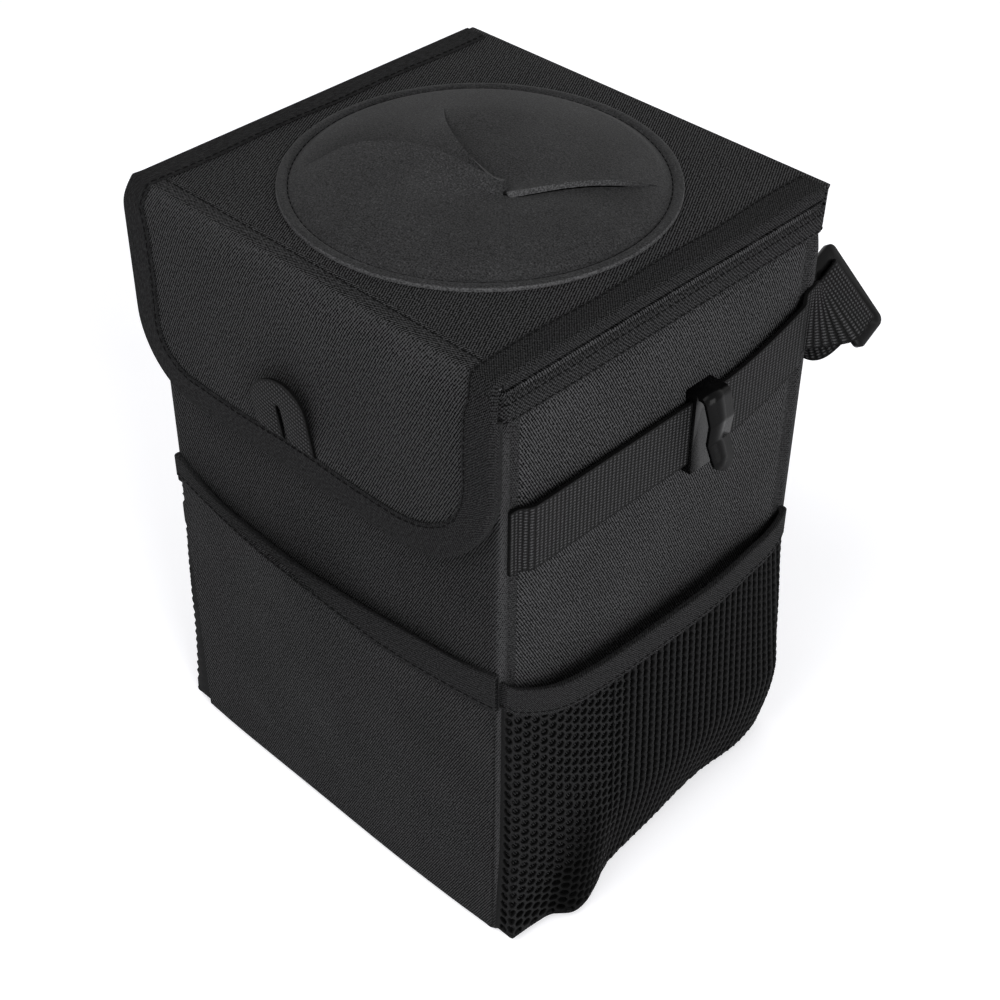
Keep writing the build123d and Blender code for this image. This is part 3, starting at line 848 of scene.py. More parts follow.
pocket_edge = folded_edge(pocket_tape_face, 1.0, cloth)
folded_tape = tape * 0.7
tape_patch = shell(pocket_edge, folded_tape)
pocket_tape = add(
    "front_pocket_tape", [tape_patch], pocket_tape_black, "bin", "binding_tape", "front_pocket_binding"
)
pocket_row = stitches(pocket_edge[:, 1], normals(pocket_edge, False)[:, 1])
pocket_thread = add("front_pocket_stitches", [pocket_row], thread_black, "bin", "binding_tape")
sheet(2 * pocket_half, pocket_high[2])


# Net pockets on the two sides

net_pitch = 4.2
net_row_share = 0.866
net_corners = 12
net_columns = 220
net_hole = 0.70
net_slot_width = 0.4
net_slot_height = 0.95
net_rib = 0.8
net_thick = 0.9
net_return = 9.0
net_edge_room = 2.4
# Place and width along the net, and share of its height, of the painted shade in the pleat
net_pleat_shade = (0.22, 0.06)
net_pleat_shade_height = 0.44
net_floor = net_low[2]
net_front = net_low[1]
net_back = net_high[1]
net_toe = 1.5
net_middle = 0.36
pleat_height = 0.62
net_seam_share = 0.32
net_tape_height = 11.6
net_under_tape = 5.0
net_turn_in = 8.0
net_room = 0.4

# Corners of net cells count as one point after rounding
weld_steps = 200
weld_shift = 0.3

# Outline of the pocket at its floor, lower middle and top: distance from the wall, and place along it
net_places = [net_front, net_front, -66, -58, -52, -45, -36, -25, 0, 30, 52, 64, 70, net_back, net_back]
net_out_floor = [0, 8.2, 8.8, 9.0, 9.2, 9.2, 9.0, 8.8, 7.2, 4.6, 6.0, 5.0, 3.6, 1.8, 0]
net_out_middle = [0, 6.4, 9.0, 10.2, 10.8, 11.4, 11.8, 12.0, 12.0, 11.6, 11.2, 10.6, 9.6, 6.4, 0]
net_out_top = [0, 2.6, 5.0, 6.8, 7.6, 8.2, 8.6, 8.8, 9.0, 8.8, 6.8, 4.8, 3.4, 1.8, 0]
pleat_push = [0, 0, 0.3, 1.6, 6.2, 6.6, 4.0, 0.4, 0, 0, 0, 0, 0, 0, 0]

# Height of the pocket's mouth along it, above the top of the tape's solid
net_mouth = [
    (net_front, 5.0), (-70.0, 0.5), (-55.0, -6.0), (-38.0, -8.8), (-20.0, -10.0),
    (20.0, -10.8), (44.0, -10.0), (61.0, -11.0), (net_back, -9.0),
]


def mouth_height(y):
    """Height of the pocket's upper edge at places along it."""
    curve = through(net_mouth, 12)
    return net_tape_top + np.interp(y, curve[:, 0], curve[:, 1])


def net_line(share, out):
    """The pocket's outline at a share of its height, moved out from the wall."""
    low, middle, high = np.array(net_out_floor), np.array(net_out_middle), np.array(net_out_top)
    if share < net_middle:
        off = low + (middle - low) * sin(share / net_middle * pi / 2)
    else:
        off = middle + (high - middle) * (share - net_middle) / (1 - net_middle)
    off = off + np.array(pleat_push) * max(1 - share / pleat_height, 0) ** 0.8
    off[1:-1] += out
    line = np.stack([off, np.array(net_places)], 1)
    line[:2, 1] -= out + net_toe * max(1 - share / net_middle, 0)
    line[-2:, 1] += out
    curve = np.concatenate([line[:1], through(line[1:-1], 10), line[-1:]])
    return even(curve, net_columns)


def net_points(shares):
    """Grid of points on the right pocket's outer side."""
    columns = []
    for share in shares:
        off, y = net_line(share, 0).T
        z = net_floor + (mouth_height(y) - net_under_tape - net_floor) * share
        columns.append(grid_of(half_width + off, y, z))
    return np.stack(columns, 1)


def net_patch(grid, length, height, first_hole):
    """Knitted net on a grid of points: six-sided meshes with round holes, crowned yarns and a back."""
    facing = normals(grid, False)
    tall = net_pitch * net_row_share
    columns, rows = int(length / tall) + 2, int(height / net_pitch) + 2
    c, r = np.meshgrid(np.arange(columns), np.arange(rows), indexing="ij")
    middle = np.stack([c * tall, (r + 0.5 * (c % 2)) * net_pitch], 2).reshape(-1, 2)
    angle = 2 * pi * np.arange(net_corners) / net_corners
    ring = np.stack([np.cos(angle), np.sin(angle)], 1)
    edge = ring * (net_pitch / 2 / np.cos(angle % (pi / 3) - pi / 6))[:, None]
    rear = smooth((middle[:, 0] / length - net_seam_share) / 0.08)[:, None, None]
    slot = np.array([net_slot_width, net_slot_height])
    hole = ring * (net_hole + (slot - net_hole) * rear) * net_pitch / 2
    outline = np.clip(middle[:, None] + edge, 0, (length, height))
    spots = outline.reshape(-1, 2)
    _, first, corner = np.unique(
        np.round(spots * weld_steps + weld_shift).astype(int), axis=0, return_index=True, return_inverse=True
    )
    corner = corner.reshape(-1, net_corners)
    room = net_hole * net_pitch / 2 + net_room
    whole = np.all((middle > (first_hole, room)) & (middle < (length - net_edge_room, height - room)), axis=1)
    hole = hole[whole]
    inner = [(middle[whole][:, None] + places).reshape(-1, 2) for places in (0.45 * edge + 0.55 * hole, hole)]
    # Each level gives its places, its lift off the net and its relief: lower relief paints shade deeper into
    # the holes
    levels = [(spots[first], 0.10, 0.95), (spots[first], -net_thick, 0.6)]
    levels += [(inner[0], 0.22, 1.0), (inner[1], -0.25, 0.35), (inner[1], -net_thick, 0.2)]
    verts, weave, relief, begin = [], [], [], [0]
    for places, lift, depth in levels:
        a, b = places[:, 0] / length, places[:, 1] / height
        valley = smooth((a - net_seam_share) / 0.06) * (0.5 + 0.5 * np.cos(2 * pi * places[:, 0] / tall))
        pleat_shade = np.exp(-(((a - net_pleat_shade[0]) / net_pleat_shade[1]) ** 2)) * smooth(1.3 - b / net_pleat_shade_height)
        verts.append(at(grid, a, b) + at(facing, a, b) * (lift - net_rib * valley)[:, None])
        weave.append(places)
        # The relief also paints shade in the valleys between the rear ribs and in the pleat
        relief.append(depth - 0.4 * valley - 0.75 * pleat_shade)
        begin.append(begin[-1] + len(places))
    k = np.arange(whole.sum() * net_corners)
    after = k // net_corners * net_corners + (k + 1) % net_corners
    here = corner[whole].ravel()
    there = here[after]
    fronts = np.stack([here, there, after + begin[2], k + begin[2]], 1)
    faces = [tuple(face) for face in fronts]
    for low, high in ((2, 3), (3, 4)):
        faces += zip(k + begin[low], after + begin[low], after + begin[high], k + begin[high])
    faces += zip(k + begin[4], after + begin[4], there + begin[1], here + begin[1])
    for cell in corner[~whole]:
        cut = [v for place, v in enumerate(cell) if v != cell[place - 1]]
        x, y = spots[first][cut].T
        if len(set(cut)) == len(cut) > 2 and np.dot(x, np.roll(y, -1)) - np.dot(y, np.roll(x, -1)) > 0.5:
            faces.append(tuple(cut))
            faces.append(tuple(v + begin[1] for v in reversed(cut)))
    edges = {pair for face in faces for pair in zip(face, face[1:] + face[:1]) if max(pair) < begin[1]}
    faces += [(b, a, a + begin[1], b + begin[1]) for a, b in edges if (b, a) not in edges]
    return np.concatenate(verts), faces, np.concatenate(weave), np.concatenate(relief)


net_grid = net_points(np.linspace(0, 1, 40))
net_length = length_of(net_grid[:, 20])
net_tall = net_tape_top - net_under_tape - net_floor
net_walls = {
    "right": net_patch(net_grid, net_length, net_tall, net_edge_room),
    "left": net_patch(net_grid, net_length, net_tall, net_return),
}


def net_floor_patch():
    """Bottom of the pocket, from the wall to the foot of the net."""
    off, y = net_line(0, -0.1).T[:, :, None]
    points = grid_of(half_width + off * np.linspace(1, 0, 6), y, net_floor + 0.2)
    return shell(points[::-1], net_thick)


def net_tape_face(drop, out):
    """Line of the tape along the pocket's top edge, a drop below it and a distance out."""
    off, y = net_line(1, out).T
    return grid_of(half_width + off, y, mouth_height(y) - drop)


net_edge = folded_edge(net_tape_face, net_tape_height, 1.0)
net_tape_patch = shell(net_edge, folded_tape)
net_stitch_patch = stitches(net_edge[:, 1], normals(net_edge, False)[:, 1])
seam_heights = np.linspace(0.3, 0.95, 40)
seam_places = np.full(len(seam_heights), net_seam_share)
seam_facing = at(normals(net_grid, False), seam_places, seam_heights)
seam_spots = at(net_grid, seam_places, seam_heights) + seam_facing * 0.3
net_seam_patch = stitches(seam_spots, seam_facing, pitch=2.5)
for side, turned in side_turns.items():
    net_patches = [turned(net_walls[side]), turned(net_floor_patch())]
    net = add(side + "_net", net_patches, net_black, "bin", "pocket_mesh", side + "_mesh_pocket", sharp=60)
    edge_patch = turned(net_tape_patch)
    net_tape = add(
        side + "_net_tape", [edge_patch], tape_black, "bin", "binding_tape", side + "_mesh_binding"
    )
    rows = [turned(net_stitch_patch), turned(net_seam_patch)]
    net_thread = add(side + "_net_stitches", rows, thread_black, "bin", "binding_tape")
    net_cut = net_tall + net_turn_in
    sheet(net_length, net_cut)


# Webbing straps

webbing_sharp = 70
side_weight = 1e-3


def rib_relief(run, across):
    """Height of the webbing's beaded ribs, from 0 to 1, at lengths along and across it."""
    column = run / rib_pitch
    bead = across / bead_pitch + 0.5 * np.floor(column)
    return np.abs(np.sin(pi * column)) * (0.6 + 0.4 * np.cos(2 * pi * bead))


def webbing(centres, sides):
    """Ribbed webbing along a line of centres, with sides pointing across it."""
    count = int(length_of(centres) / webbing_step)
    joint = even(np.concatenate([centres, sides * side_weight], 1), count)
    centres, sides = joint[:, :3], unit(joint[:, 3:])
    run = run_of(centres)[:, None]
    half = webbing_width / 2
    across = np.linspace(-half, half, int(webbing_width / webbing_step))
    points = centres[:, None] + sides[:, None] * across[None, :, None]
    edge = half - np.abs(across)
    height = rib_relief(run, across) * smooth(edge / rib_fade)
    # The relief falls to 0 along both edges, so the webbing's colour is darker there
    tone = np.broadcast_to(smooth(edge / dark_edge_width), points.shape[:2])
    weave = np.stack(np.broadcast_arrays(run, across), 2)
    raised = points + normals(points, False) * (height * rib_height)[:, :, None]
    return shell(raised, webbing_thick, weave=weave, relief=tone, base=points)


def strap(name, patch, node):
    """Adds a strap of webbing to the bin."""
    return add(name, [patch], webbing_black, "bin", "ribbed_webbing", node, sharp=webbing_sharp)


strap_middle = strap_low[2] + webbing_width / 2
strap_rise = strap_high[2] - strap_low[2] - webbing_width
strap_end = strap_high[1]
strap_face = -strap_low[0]
strap_bend_place = 20.0
strap_flat = 58.0
strap_turn = 60.0
strap_step_start = 2.5
strap_step = 6.0
climb_share = 0.52
climb_top = 1.08


def strap_line():
    """Centre line of the right strap from the front corner to the back one."""
    end = np.linspace(strap_turn, strap_end, 14)
    y = np.concatenate([-end[::-1], np.linspace(-strap_flat, strap_flat, 60), end])
    sewn = half_width + webbing_thick / 2
    off = strap_face - webbing_thick / 2
    step = smooth((seam_line + strap_step_start - np.abs(y)) / strap_step)
    rise = np.maximum(y - strap_bend_place, 0) / (strap_end - strap_bend_place)
    climb = smooth(rise * climb_share) * 2 / climb_top
    return grid_of(sewn + (off - sewn) * step, y, strap_middle + strap_rise * climb)


def buckle_axes():
    """Middle of the slide buckle, and its directions along its length, along the webbing and off its face."""
    points = np.array([v.co for v in frame["nodes"]["strap_buckle"].data.vertices]) / METRES
    low, high = span("strap_buckle")
    middle = (low + high) / 2
    _, _, axes = np.linalg.svd(points - middle, full_matrices=False)
    along, _, face = axes
    along = along if along[2] < 0 else -along
    face = face if face[0] > 0 else -face
    return middle, along, np.cross(face, along), face


buckle_middle, buckle_along, buckle_run, buckle_face = buckle_axes()
buckle_half = 8.5
slot_place = 3.4
slot_lead = 0.6
slot_lift = 0.4
webbing_lift = 2.4


def on_buckle(run, lift):
    """Place on the buckle, a run along the webbing and a lift off its middle."""
    return buckle_middle + buckle_run * run + buckle_face * lift


def between(*rows):
    """Smooth line of centres and sides through rows of (centre, side)."""
    both = through(np.array([np.concatenate([centre, side]) for centre, side in rows]), 14)
    return both[:, :3], both[:, 3:]


down = np.array([0, 0, -1.0])
run_line = strap_line()
run_sides = np.tile(down, (len(run_line), 1))
strap_corner = run_line[-1]
buckle_start = on_buckle(-buckle_half, webbing_lift)
tab_line, tab_sides = between(
    (strap_corner, down),
    (strap_corner * 0.45 + buckle_start * 0.55, down * 0.5 + buckle_along * 0.5),
    (buckle_start, buckle_along),
    (on_buckle(0, webbing_lift), buckle_along),
    (on_buckle(slot_place - slot_lead, webbing_lift - slot_lift), buckle_along),
    (on_buckle(slot_place, slot_lift), buckle_along),
)
right_line = np.concatenate([run_line, tab_line[1:]])
right_sides = np.concatenate([run_sides, tab_sides[1:]])
right_strap = strap("right_webbing", webbing(right_line, right_sides), "right_strap")
sheet(webbing_width, length_of(right_line))
left_strap = strap("left_webbing", mirrored(webbing(run_line, run_sides)), "left_strap")
sheet(webbing_width, length_of(run_line))

hanging_middle = 199.0
hanging_bow = 9.0
hanging_lead = 9.0
bow_reach = 1.25
hanging_turn = np.array([68.0, 83.0, 180.0])
landing_x = 52.0
landing_y = half_depth + 0.8


def hanging_line():
    """Hanging strap from under the buckle across the back of the bin to its sewn end."""
    first, first_sides = between(
        (on_buckle(slot_place, -slot_lift), buckle_along),
        (on_buckle(slot_place - slot_lead, -webbing_lift + slot_lift), buckle_along),
        (on_buckle(0, -webbing_lift), buckle_along),
        (on_buckle(-buckle_half, -webbing_lift), buckle_along),
        (
            on_buckle(-buckle_half - hanging_lead, -webbing_lift) * 0.5 + hanging_turn * 0.5,
            buckle_along * 0.4 + down * 0.6,
        ),
        (np.array([landing_x, landing_y, hanging_middle]), down),
    )
    x = np.linspace(landing_x, hanging_left, 60)
    middle, half = (landing_x + hanging_left) / 2, (landing_x - hanging_left) / 2
    bow = hanging_bow * smooth(bow_reach * (1 - np.abs((x - middle) / half)))
    second = grid_of(x, landing_y + bow, hanging_middle)
    sides = np.concatenate([first_sides, np.tile(down, (len(x) - 1, 1))])
    return np.concatenate([first, second[1:]]), sides


loop_line, loop_sides = hanging_line()
hanging = strap("hanging_webbing", webbing(loop_line, loop_sides), "hanging_strap")
sheet(webbing_width, length_of(loop_line))


# Lid and flap cloth, which hang together over the front fold

fold_y = -flap_face + fold_lean
fold_share = np.linspace(0, 1, 40)
fold_curve = np.stack(
    [fold_y - fold_lean * (1 - (1 - fold_share) ** 2), lid_top - fold_reach * fold_share], 1
)
fold_run = run_of(fold_curve)
fold_length = fold_run[-1]
fold_turn = np.arctan2(fold_reach, 2 * fold_lean * (1 - fold_share))
flap_length = fold_length + lid_top - fold_reach - flap_bottom
crease = -1.2
crease_skip = 4
thin_from = -3.0
thin_low = -1.4
flap_corner_share = 0.96
flap_ripple = 0.55
flap_calm_low = 20.0
flap_calm_high = 12.0
hem_edge = 0.5
hem_fade = 2.0
groove_width = 0.6
fold_highlight = 0.24
fold_highlight_row = 1.5
fold_highlight_reach = 6.0
widen_start = 2.0
widen_length = 14.0


def drape(x, d, h):
    """Point on the lid and flap cloth: d runs from the crease, and h is the height off the cloth."""
    x, d, h = np.broadcast_arrays(np.asarray(x, float), np.asarray(d, float), np.asarray(h, float))
    turn_run = np.concatenate([[crease], fold_run[crease_skip:]])
    turn = np.interp(d, turn_run, np.concatenate([[0], fold_turn[crease_skip:]]))
    h = np.where((d > thin_from) & (d < fold_length), np.maximum(h, thin_low), h)
    y = np.interp(d, fold_run, fold_curve[:, 0]) - np.minimum(d, 0) - h * np.sin(turn)
    z = np.interp(d, fold_run, fold_curve[:, 1]) - np.maximum(d - fold_length, 0) + h * np.cos(turn)
    return grid_of(x, y, z)


def side_at(d, radius):
    """Half width of the lid, the fold and the flap, down to a round corner of the flap."""
    wide = half_width + (flap_half - half_width) * smooth((d - flare_start) / flare_length)
    low = np.clip(d - flap_length + radius, 0, radius)
    return wide - radius + np.sqrt(radius**2 - low**2)


seam_d = -lid_seam
corner_turn = np.sin(np.linspace(0, pi / 2, 22))
flap_rows = np.concatenate([
    np.linspace(seam_d, crease, 12)[:-1],
    np.linspace(crease, fold_length, 24)[:-1],
    flap_length - flap_right_radius + corner_turn * flap_right_radius,
])
flap_left, flap_right = side_at(flap_rows, flap_left_radius), side_at(flap_rows, flap_right_radius)
flap_x = -flap_left + (flap_left + flap_right) * np.linspace(0, 1, 70)[:, None]
flap_swell = flap_ripple * waves(flap_x, flap_rows, 1.7) * smooth((flap_length - flap_rows) / flap_calm_low)
flap_swell = flap_swell * smooth((flap_rows - fold_length) / flap_calm_high)
hem_dip = hem_groove * np.exp(-(((flap_rows - hem_row) / groove_width) ** 2))
hem = hem_rise * smooth((hem_edge - flap_rows) / hem_fade) - hem_dip
flap_points = drape(flap_x[:, ::-1], flap_rows[::-1], (flap_swell + hem)[:, ::-1])
flap_weave = np.stack(np.broadcast_arrays(flap_x, -flap_rows), 2)[:, ::-1]
# Painted highlight: the relief is raised in a band on the flap just below the front fold, which the oxford
# finish turns paler
flap_fold_highlight = np.exp(-np.abs(flap_rows - fold_highlight_row) / fold_highlight_reach)
flap_fold_highlight = 1 + fold_highlight * flap_fold_highlight * (flap_rows > 0)
flap_relief = np.broadcast_to(flap_fold_highlight[::-1], flap_x.shape)
flap_patch = shell(flap_points, cloth, weave=flap_weave, relief=flap_relief)
flap_cloth = build("flap_cloth", [flap_patch], flap_black)
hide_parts("flap_skin")
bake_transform(flap_cloth)


def holed_plate(y_low, y_high, z):
    """Flat sheet between two lines across the lid, with a round hole for the chute."""
    corners = [(half_width, y_high), (-half_width, y_high), (-half_width, y_low), (half_width, y_low)]
    share = np.arange(30)[:, None] / 30
    ring = closed(np.array(corners))
    edge = np.concatenate([first + (last - first) * share for first, last in zip(ring, ring[1:])])
    hole = (0, chute_middle) + chute_hole * unit(edge - (0, chute_middle))
    x, y = edge.T[:, :, None] + (hole - edge).T[:, :, None] * np.linspace(0, 1, 9)
    return grid_of(x, y, z)


lid_plate_front = fold_y - seam_d
back_seam = lid_back - lid_seam
lid_points = holed_plate(lid_plate_front, back_seam, lid_top)
lid_patch = shell(lid_points, cloth, wrap=True, weave=lid_points[:, :, :2] * (-1, 1))
lid_cloth = add("lid_cloth", [lid_patch], flap_black, "lid", "oxford_fabric", "lid_skin")
lid_cut = back_seam - lid_plate_front
lid_area = (2 * half_width * lid_cut - pi * chute_hole**2) * METRES**2
sheet(2 * half_width, lid_cut)

lining_patch = shell(holed_plate(lid_front, lid_back, lid_under)[::-1], sewn_lining, wrap=True)
lid_lining = add("lid_lining_cloth", [lining_patch], lining_black, "lid", "lining_cloth", "lid_lining")
lining_area = (2 * half_width * (lid_back - lid_front) - pi * chute_hole**2) * METRES**2
sheet(2 * half_width, lid_back - lid_front)

hinge_round = 2.5
hinge_steps = 6
hinge_drop = 1.7


def back_hinge():
    """Cloth from the lid over the back fold and down onto the rim tape, and its weave places."""
    radius = lid_top - back_fold[2]
    turn = np.linspace(0, pi / 2, 8)
    line = [(y, lid_top) for y in np.linspace(back_seam, back_fold[1], 5)[:-1]]
    line += [(back_fold[1] + radius * sin(t), back_fold[2] + radius * cos(t)) for t in turn]
    start = back_fold[1] + radius
    step = (rim_high[1] + cloth - start) / hinge_steps
    line += [(start + step * k, back_fold[2] - hinge_drop * k) for k in range(1, hinge_steps + 1)]
    line = np.array(line)
    end = half_width - hinge_round * (1 - np.sin(turn))
    middle = np.linspace(-end[0], end[0], 50)[1:-1]
    x = np.concatenate([-end[::-1], middle, end])[:, None]
    tuck = hinge_round * (1 - np.cos(turn))
    tuck = np.concatenate([tuck[::-1], np.zeros(len(middle)), tuck])[:, None]
    y, z = line.T
    points = grid_of(x, y - tuck * smooth((lid_top - z) / hinge_round), z)
    return points, np.stack(np.broadcast_arrays(-x, back_seam + run_of(line)), 2)


hinge_points, hinge_weave = back_hinge()
hinge_cloth = build("hinge_cloth", [shell(hinge_points, cloth, weave=hinge_weave)], flap_black)
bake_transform(hinge_cloth)
hinge_cut = length_of(hinge_points[len(hinge_points) // 2])
sheet(2 * half_width, hinge_cut)


def border():
    """Edge of the lid and flap, from the lid's back left corner round the flap to its back right one.

    Gives the points across and along the cloth, and the direction inwards.
    """
    back = fold_y - lid_back
    sides = []
    for radius in (flap_left_radius, flap_right_radius):
        d = np.concatenate([
            np.linspace(back, flare_start, 60)[:-1],
            np.linspace(flare_start, fold_length, 30)[:-1],
            np.linspace(fold_length, flap_length - radius, 20)[:-1],
            flap_length - radius + corner_turn * radius,
        ])
        sides.append(np.stack([side_at(d, radius), d], 1))
    left, right = sides[0] * (-1, 1), sides[1][::-1]
    bottom = np.linspace(left[-1], right[0], 40)[1:-1]
    line = np.concatenate([left, bottom, right])
    ahead = unit(np.gradient(line, axis=0))
    return line, np.stack([ahead[:, 1], -ahead[:, 0]], 1)


def edge_tape():
    """Binding folded round the border: points along it and over its section."""
    line, inward = border()
    run = run_of(line)
    waver = 0.4 * np.sin(run * 0.11) + 0.35 * np.sin(run * 0.043 + 1)
    widening = smooth((line[:, 1] - widen_start) / widen_length)
    wide = edge_tape_width + (flap_tape_width - edge_tape_width) * widening
    under = -wall_stack - tape
    section = [(share, tape * 0.5 * (1 + min(1, (1 - share) * 12))) for share in np.linspace(1, 0.1, 9)]
    section += [(0.03, tape), (-0.035, tape * 0.6), (-0.08, -0.6)]
    section += [(-0.08, under / 2), (-0.08, under + 1.0), (-0.035, under + 0.2), (0.03, under)]
    section += [(share, under) for share in np.linspace(0.1, 1, 6)]
    columns = []
    for share, height in section:
        inset = (wide + waver) * share if share > 0.05 else edge_tape_width * share
        across, along = (line + inward * np.broadcast_to(inset, run.shape)[:, None]).T
        columns.append(drape(across, along, height))
    return np.stack(columns, 1)[::-1]


edge_points = edge_tape()
edge_binding = build("edge_tape", [shell(edge_points, folded_tape)], tape_black, sharp=60)
edge_facing = normals(edge_points, False)
edge_row = stitches(edge_points[:, 1], edge_facing[:, 1])
hem_places = np.linspace(edge_tape_width - half_width, half_width - edge_tape_width, 60)
hem_line = stitches(drape(hem_places, hem_row, 0.05), np.tile([0, 0, 1.0], (len(hem_places), 1)))
edge_thread = build("edge_stitches", [edge_row, hem_line], thread_black)
bound_nodes = ["lid_left_binding", "lid_right_binding", "flap_binding"]
for piece, nodes in ((edge_binding, bound_nodes), (edge_thread, [])):
    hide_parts(*nodes)
    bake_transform(piece)
flap_area = 2 * flap_half * (flap_length - seam_d) * METRES**2 * flap_corner_share
sheet(
    2 * flap_half,
    flap_length - seam_d,
)

lining_inset = 3.0
inner_rows = np.concatenate([
    np.linspace(flap_lining_high[2], flap_bottom + flap_right_radius, 8)[:-1],
    flap_bottom + flap_right_radius - corner_turn * flap_right_radius,
])
inner_d = flap_length - (inner_rows - flap_bottom)
inner_left = side_at(inner_d, flap_left_radius) - lining_inset
inner_right = side_at(inner_d, flap_right_radius) - lining_inset
inner_x = -inner_left + (inner_left + inner_right) * np.linspace(0, 1, 40)[:, None]
inner_patch = shell(grid_of(inner_x, flap_lining_high[1], inner_rows), sewn_lining)
flap_lining = add("flap_lining_cloth", [inner_patch], lining_black, "flap", "lining_cloth", "flap_lining")
flap_lining_width = 2 * (flap_half - lining_inset)
sheet(flap_lining_width, flap_lining_high[2] - flap_bottom)


# Hook-and-loop strips

tuft_height = 0.25
strip_play = 0.35


def fuzzy_strip(node, front):
    """A strip of small hooks or loops on the wall or on the flap."""
    low, high = span(node)
    x, z = np.meshgrid(np.linspace(low[0], high[0], 130), np.linspace(low[2], high[2], 36), indexing="ij")
    tuft = 0.5 + 0.5 * np.sin(x * 3.3 + 2 * np.sin(z * 1.7)) * np.sin(z * 3.1 + 2 * np.sin(x * 1.3))
    y = low[1] + tuft_height * (1 - tuft) if front else high[1] - tuft_height * (1 - tuft)
    points = grid_of(x, y, z)
    return shell(points if front else points[::-1], high[1] - low[1] - strip_play, relief=tuft)


def sew_strip(name, body, node, front):
    """Adds a hook or loop strip to a body."""
    low, high = span(node)
    strip = add(name, [fuzzy_strip(node, front)], hook_black, body, "hook_and_loop", node)
    sheet(high[0] - low[0], high[2] - low[2])


sew_strip("loop_strip", "bin", "front_loop_strip", True)
sew_strip("hook_strip", "flap", "flap_hook_strip", False)


# Pull loop on the flap

pull_low, pull_high = span("pull_loop")
pull_middle = (pull_low[0] + pull_high[0]) / 2
pull_half = (pull_high[0] - pull_low[0]) / 2
pull_height = pull_high[2] - pull_low[2]
pull_slit = 1.1
pull_slit_top = 19.0
pull_foot = 5.0
pull_tape = 1.4
pull_thick = pull_tape * 0.8
pull_lean = 4.6
pull_curl = 0.5
pull_sunk = 0.2
pull_slant = 0.28
pull_rib_angle = 62.0
pull_leg_end = -0.25
pull_plain_edge = 1.2
pull_rib_share = 0.7
pull_sewn_above = 1.0
pull_sewn_fade = 3.0


def arch_line(half, side, rise):
    """Up one leg, over an arch and down the other leg, as evenly spaced points."""
    leg = np.linspace(-1.0, 1, 34)
    leg = leg[leg > pull_leg_end]
    line = [(-half, side * h) for h in leg]
    line += [(-half * cos(t), side + rise * sin(t)) for t in np.linspace(0, pi, 46)[1:-1]]
    line += [(half, side * h) for h in leg[::-1]]
    return even(np.array(line), 260)


def pull_points():
    """Webbing that goes up one leg, over an arch and down the other, on a grid along and across it."""
    outer = arch_line(pull_half, pull_height - pull_half, pull_half)
    inner = arch_line(pull_slit, pull_slit_top, 2 * pull_slit)
    across = np.linspace(0, 1, 32)
    flat = inner[:, None] + (outer - inner)[:, None] * across[None, :, None]
    flat[:, :, 1] *= 1 - pull_slant * (1 - flat[:, :, 0] / pull_half) / 2
    turn = radians(pull_rib_angle)
    along = flat[:, :, 0] * cos(turn) + flat[:, :, 1] * sin(turn)
    weave = np.stack([along, flat[:, :, 1] * cos(turn) - flat[:, :, 0] * sin(turn)], 2)
    plain = smooth(np.minimum(across, 1 - across) * pull_half / pull_plain_edge)
    plain = np.broadcast_to(plain, flat.shape[:2])
    height = rib_relief(weave[:, :, 0], weave[:, :, 1]) * plain
    z = pull_low[2] + flat[:, :, 1]
    up = np.maximum(flat[:, :, 1] - pull_foot, 0) / (pull_height - pull_foot)
    curl = pull_curl * (1 - (2 * across[None, :] - 1) ** 2)
    out = pull_tape + pull_lean * up + curl + height * rib_height * pull_rib_share
    sewn = smooth((z - flap_bottom - flap_tape_width + pull_sewn_above) / pull_sewn_fade)
    y = -flap_face + pull_sunk - (out + pull_sunk) * sewn
    return grid_of(pull_middle + flat[:, :, 0], y, z), weave, plain


pull_grid, pull_weave, pull_plain = pull_points()
pull_patch = shell(pull_grid, pull_thick, weave=pull_weave, relief=pull_plain)
pull = add(
    "pull_webbing", [pull_patch], webbing_black, "flap", "ribbed_webbing", "pull_loop", sharp=webbing_sharp
)
pull_length = length_of(pull_grid[:, pull_grid.shape[1] // 2])
sheet(pull_half - pull_slit, pull_length)


# Chute disc

ring_width = 4.2
rim_ring = chute_radius - ring_width
petal_thick = 2.0
ring_thick = 1.4
slit_gap = 0.06
crossing = (19.0, -8.5)
dome_rise = 6.8
crossing_sink = 2.4
sink_reach = 20.0
dome_power = 2.6
dome_edge_drop = 1.2
dome_edge_share = 0.93
dome_edge_fade = 0.07
slit_fade = 0.3
ring_shell = 0.6
closed_slit = 3
cut_tone = 1.9

# Each slit's direction at its outer end, its bow to the left on the way out, the share of the way that
# it is open, the lift of the petal on its left and the drop of the petal on its right
slits = [
    (37.3, 0.5, 0.95, 0.9, 1.5),
    (143.0, 10.0, 0.72, 1.6, 2.4),
    (223.7, -13.0, 0.97, 4.2, 2.2),
    (321.8, 1.5, 0.9, 0.1, 0.0),
]

# Painted tone of each petal: painted highlight along the slit on its right, where it is puffed, and painted
# shade along the slit on its left, where it is creased
petal_light_and_shade = [(0.7, -0.3), (0.1, -0.45), (0.2, 0.0), (0.0, -0.2)]


def slit_spot(k, share):
    """Point on a slit's line, from the crossing out to the ring, on the disc's own plan."""
    turn, bow = slits[k][:2]
    out = np.array([cos(radians(turn)), sin(radians(turn))])
    left = np.array([-out[1], out[0]])
    share = share[..., None]
    return np.array(crossing) * (1 - share) + out * rim_ring * share + left * bow * np.sin(pi * share)


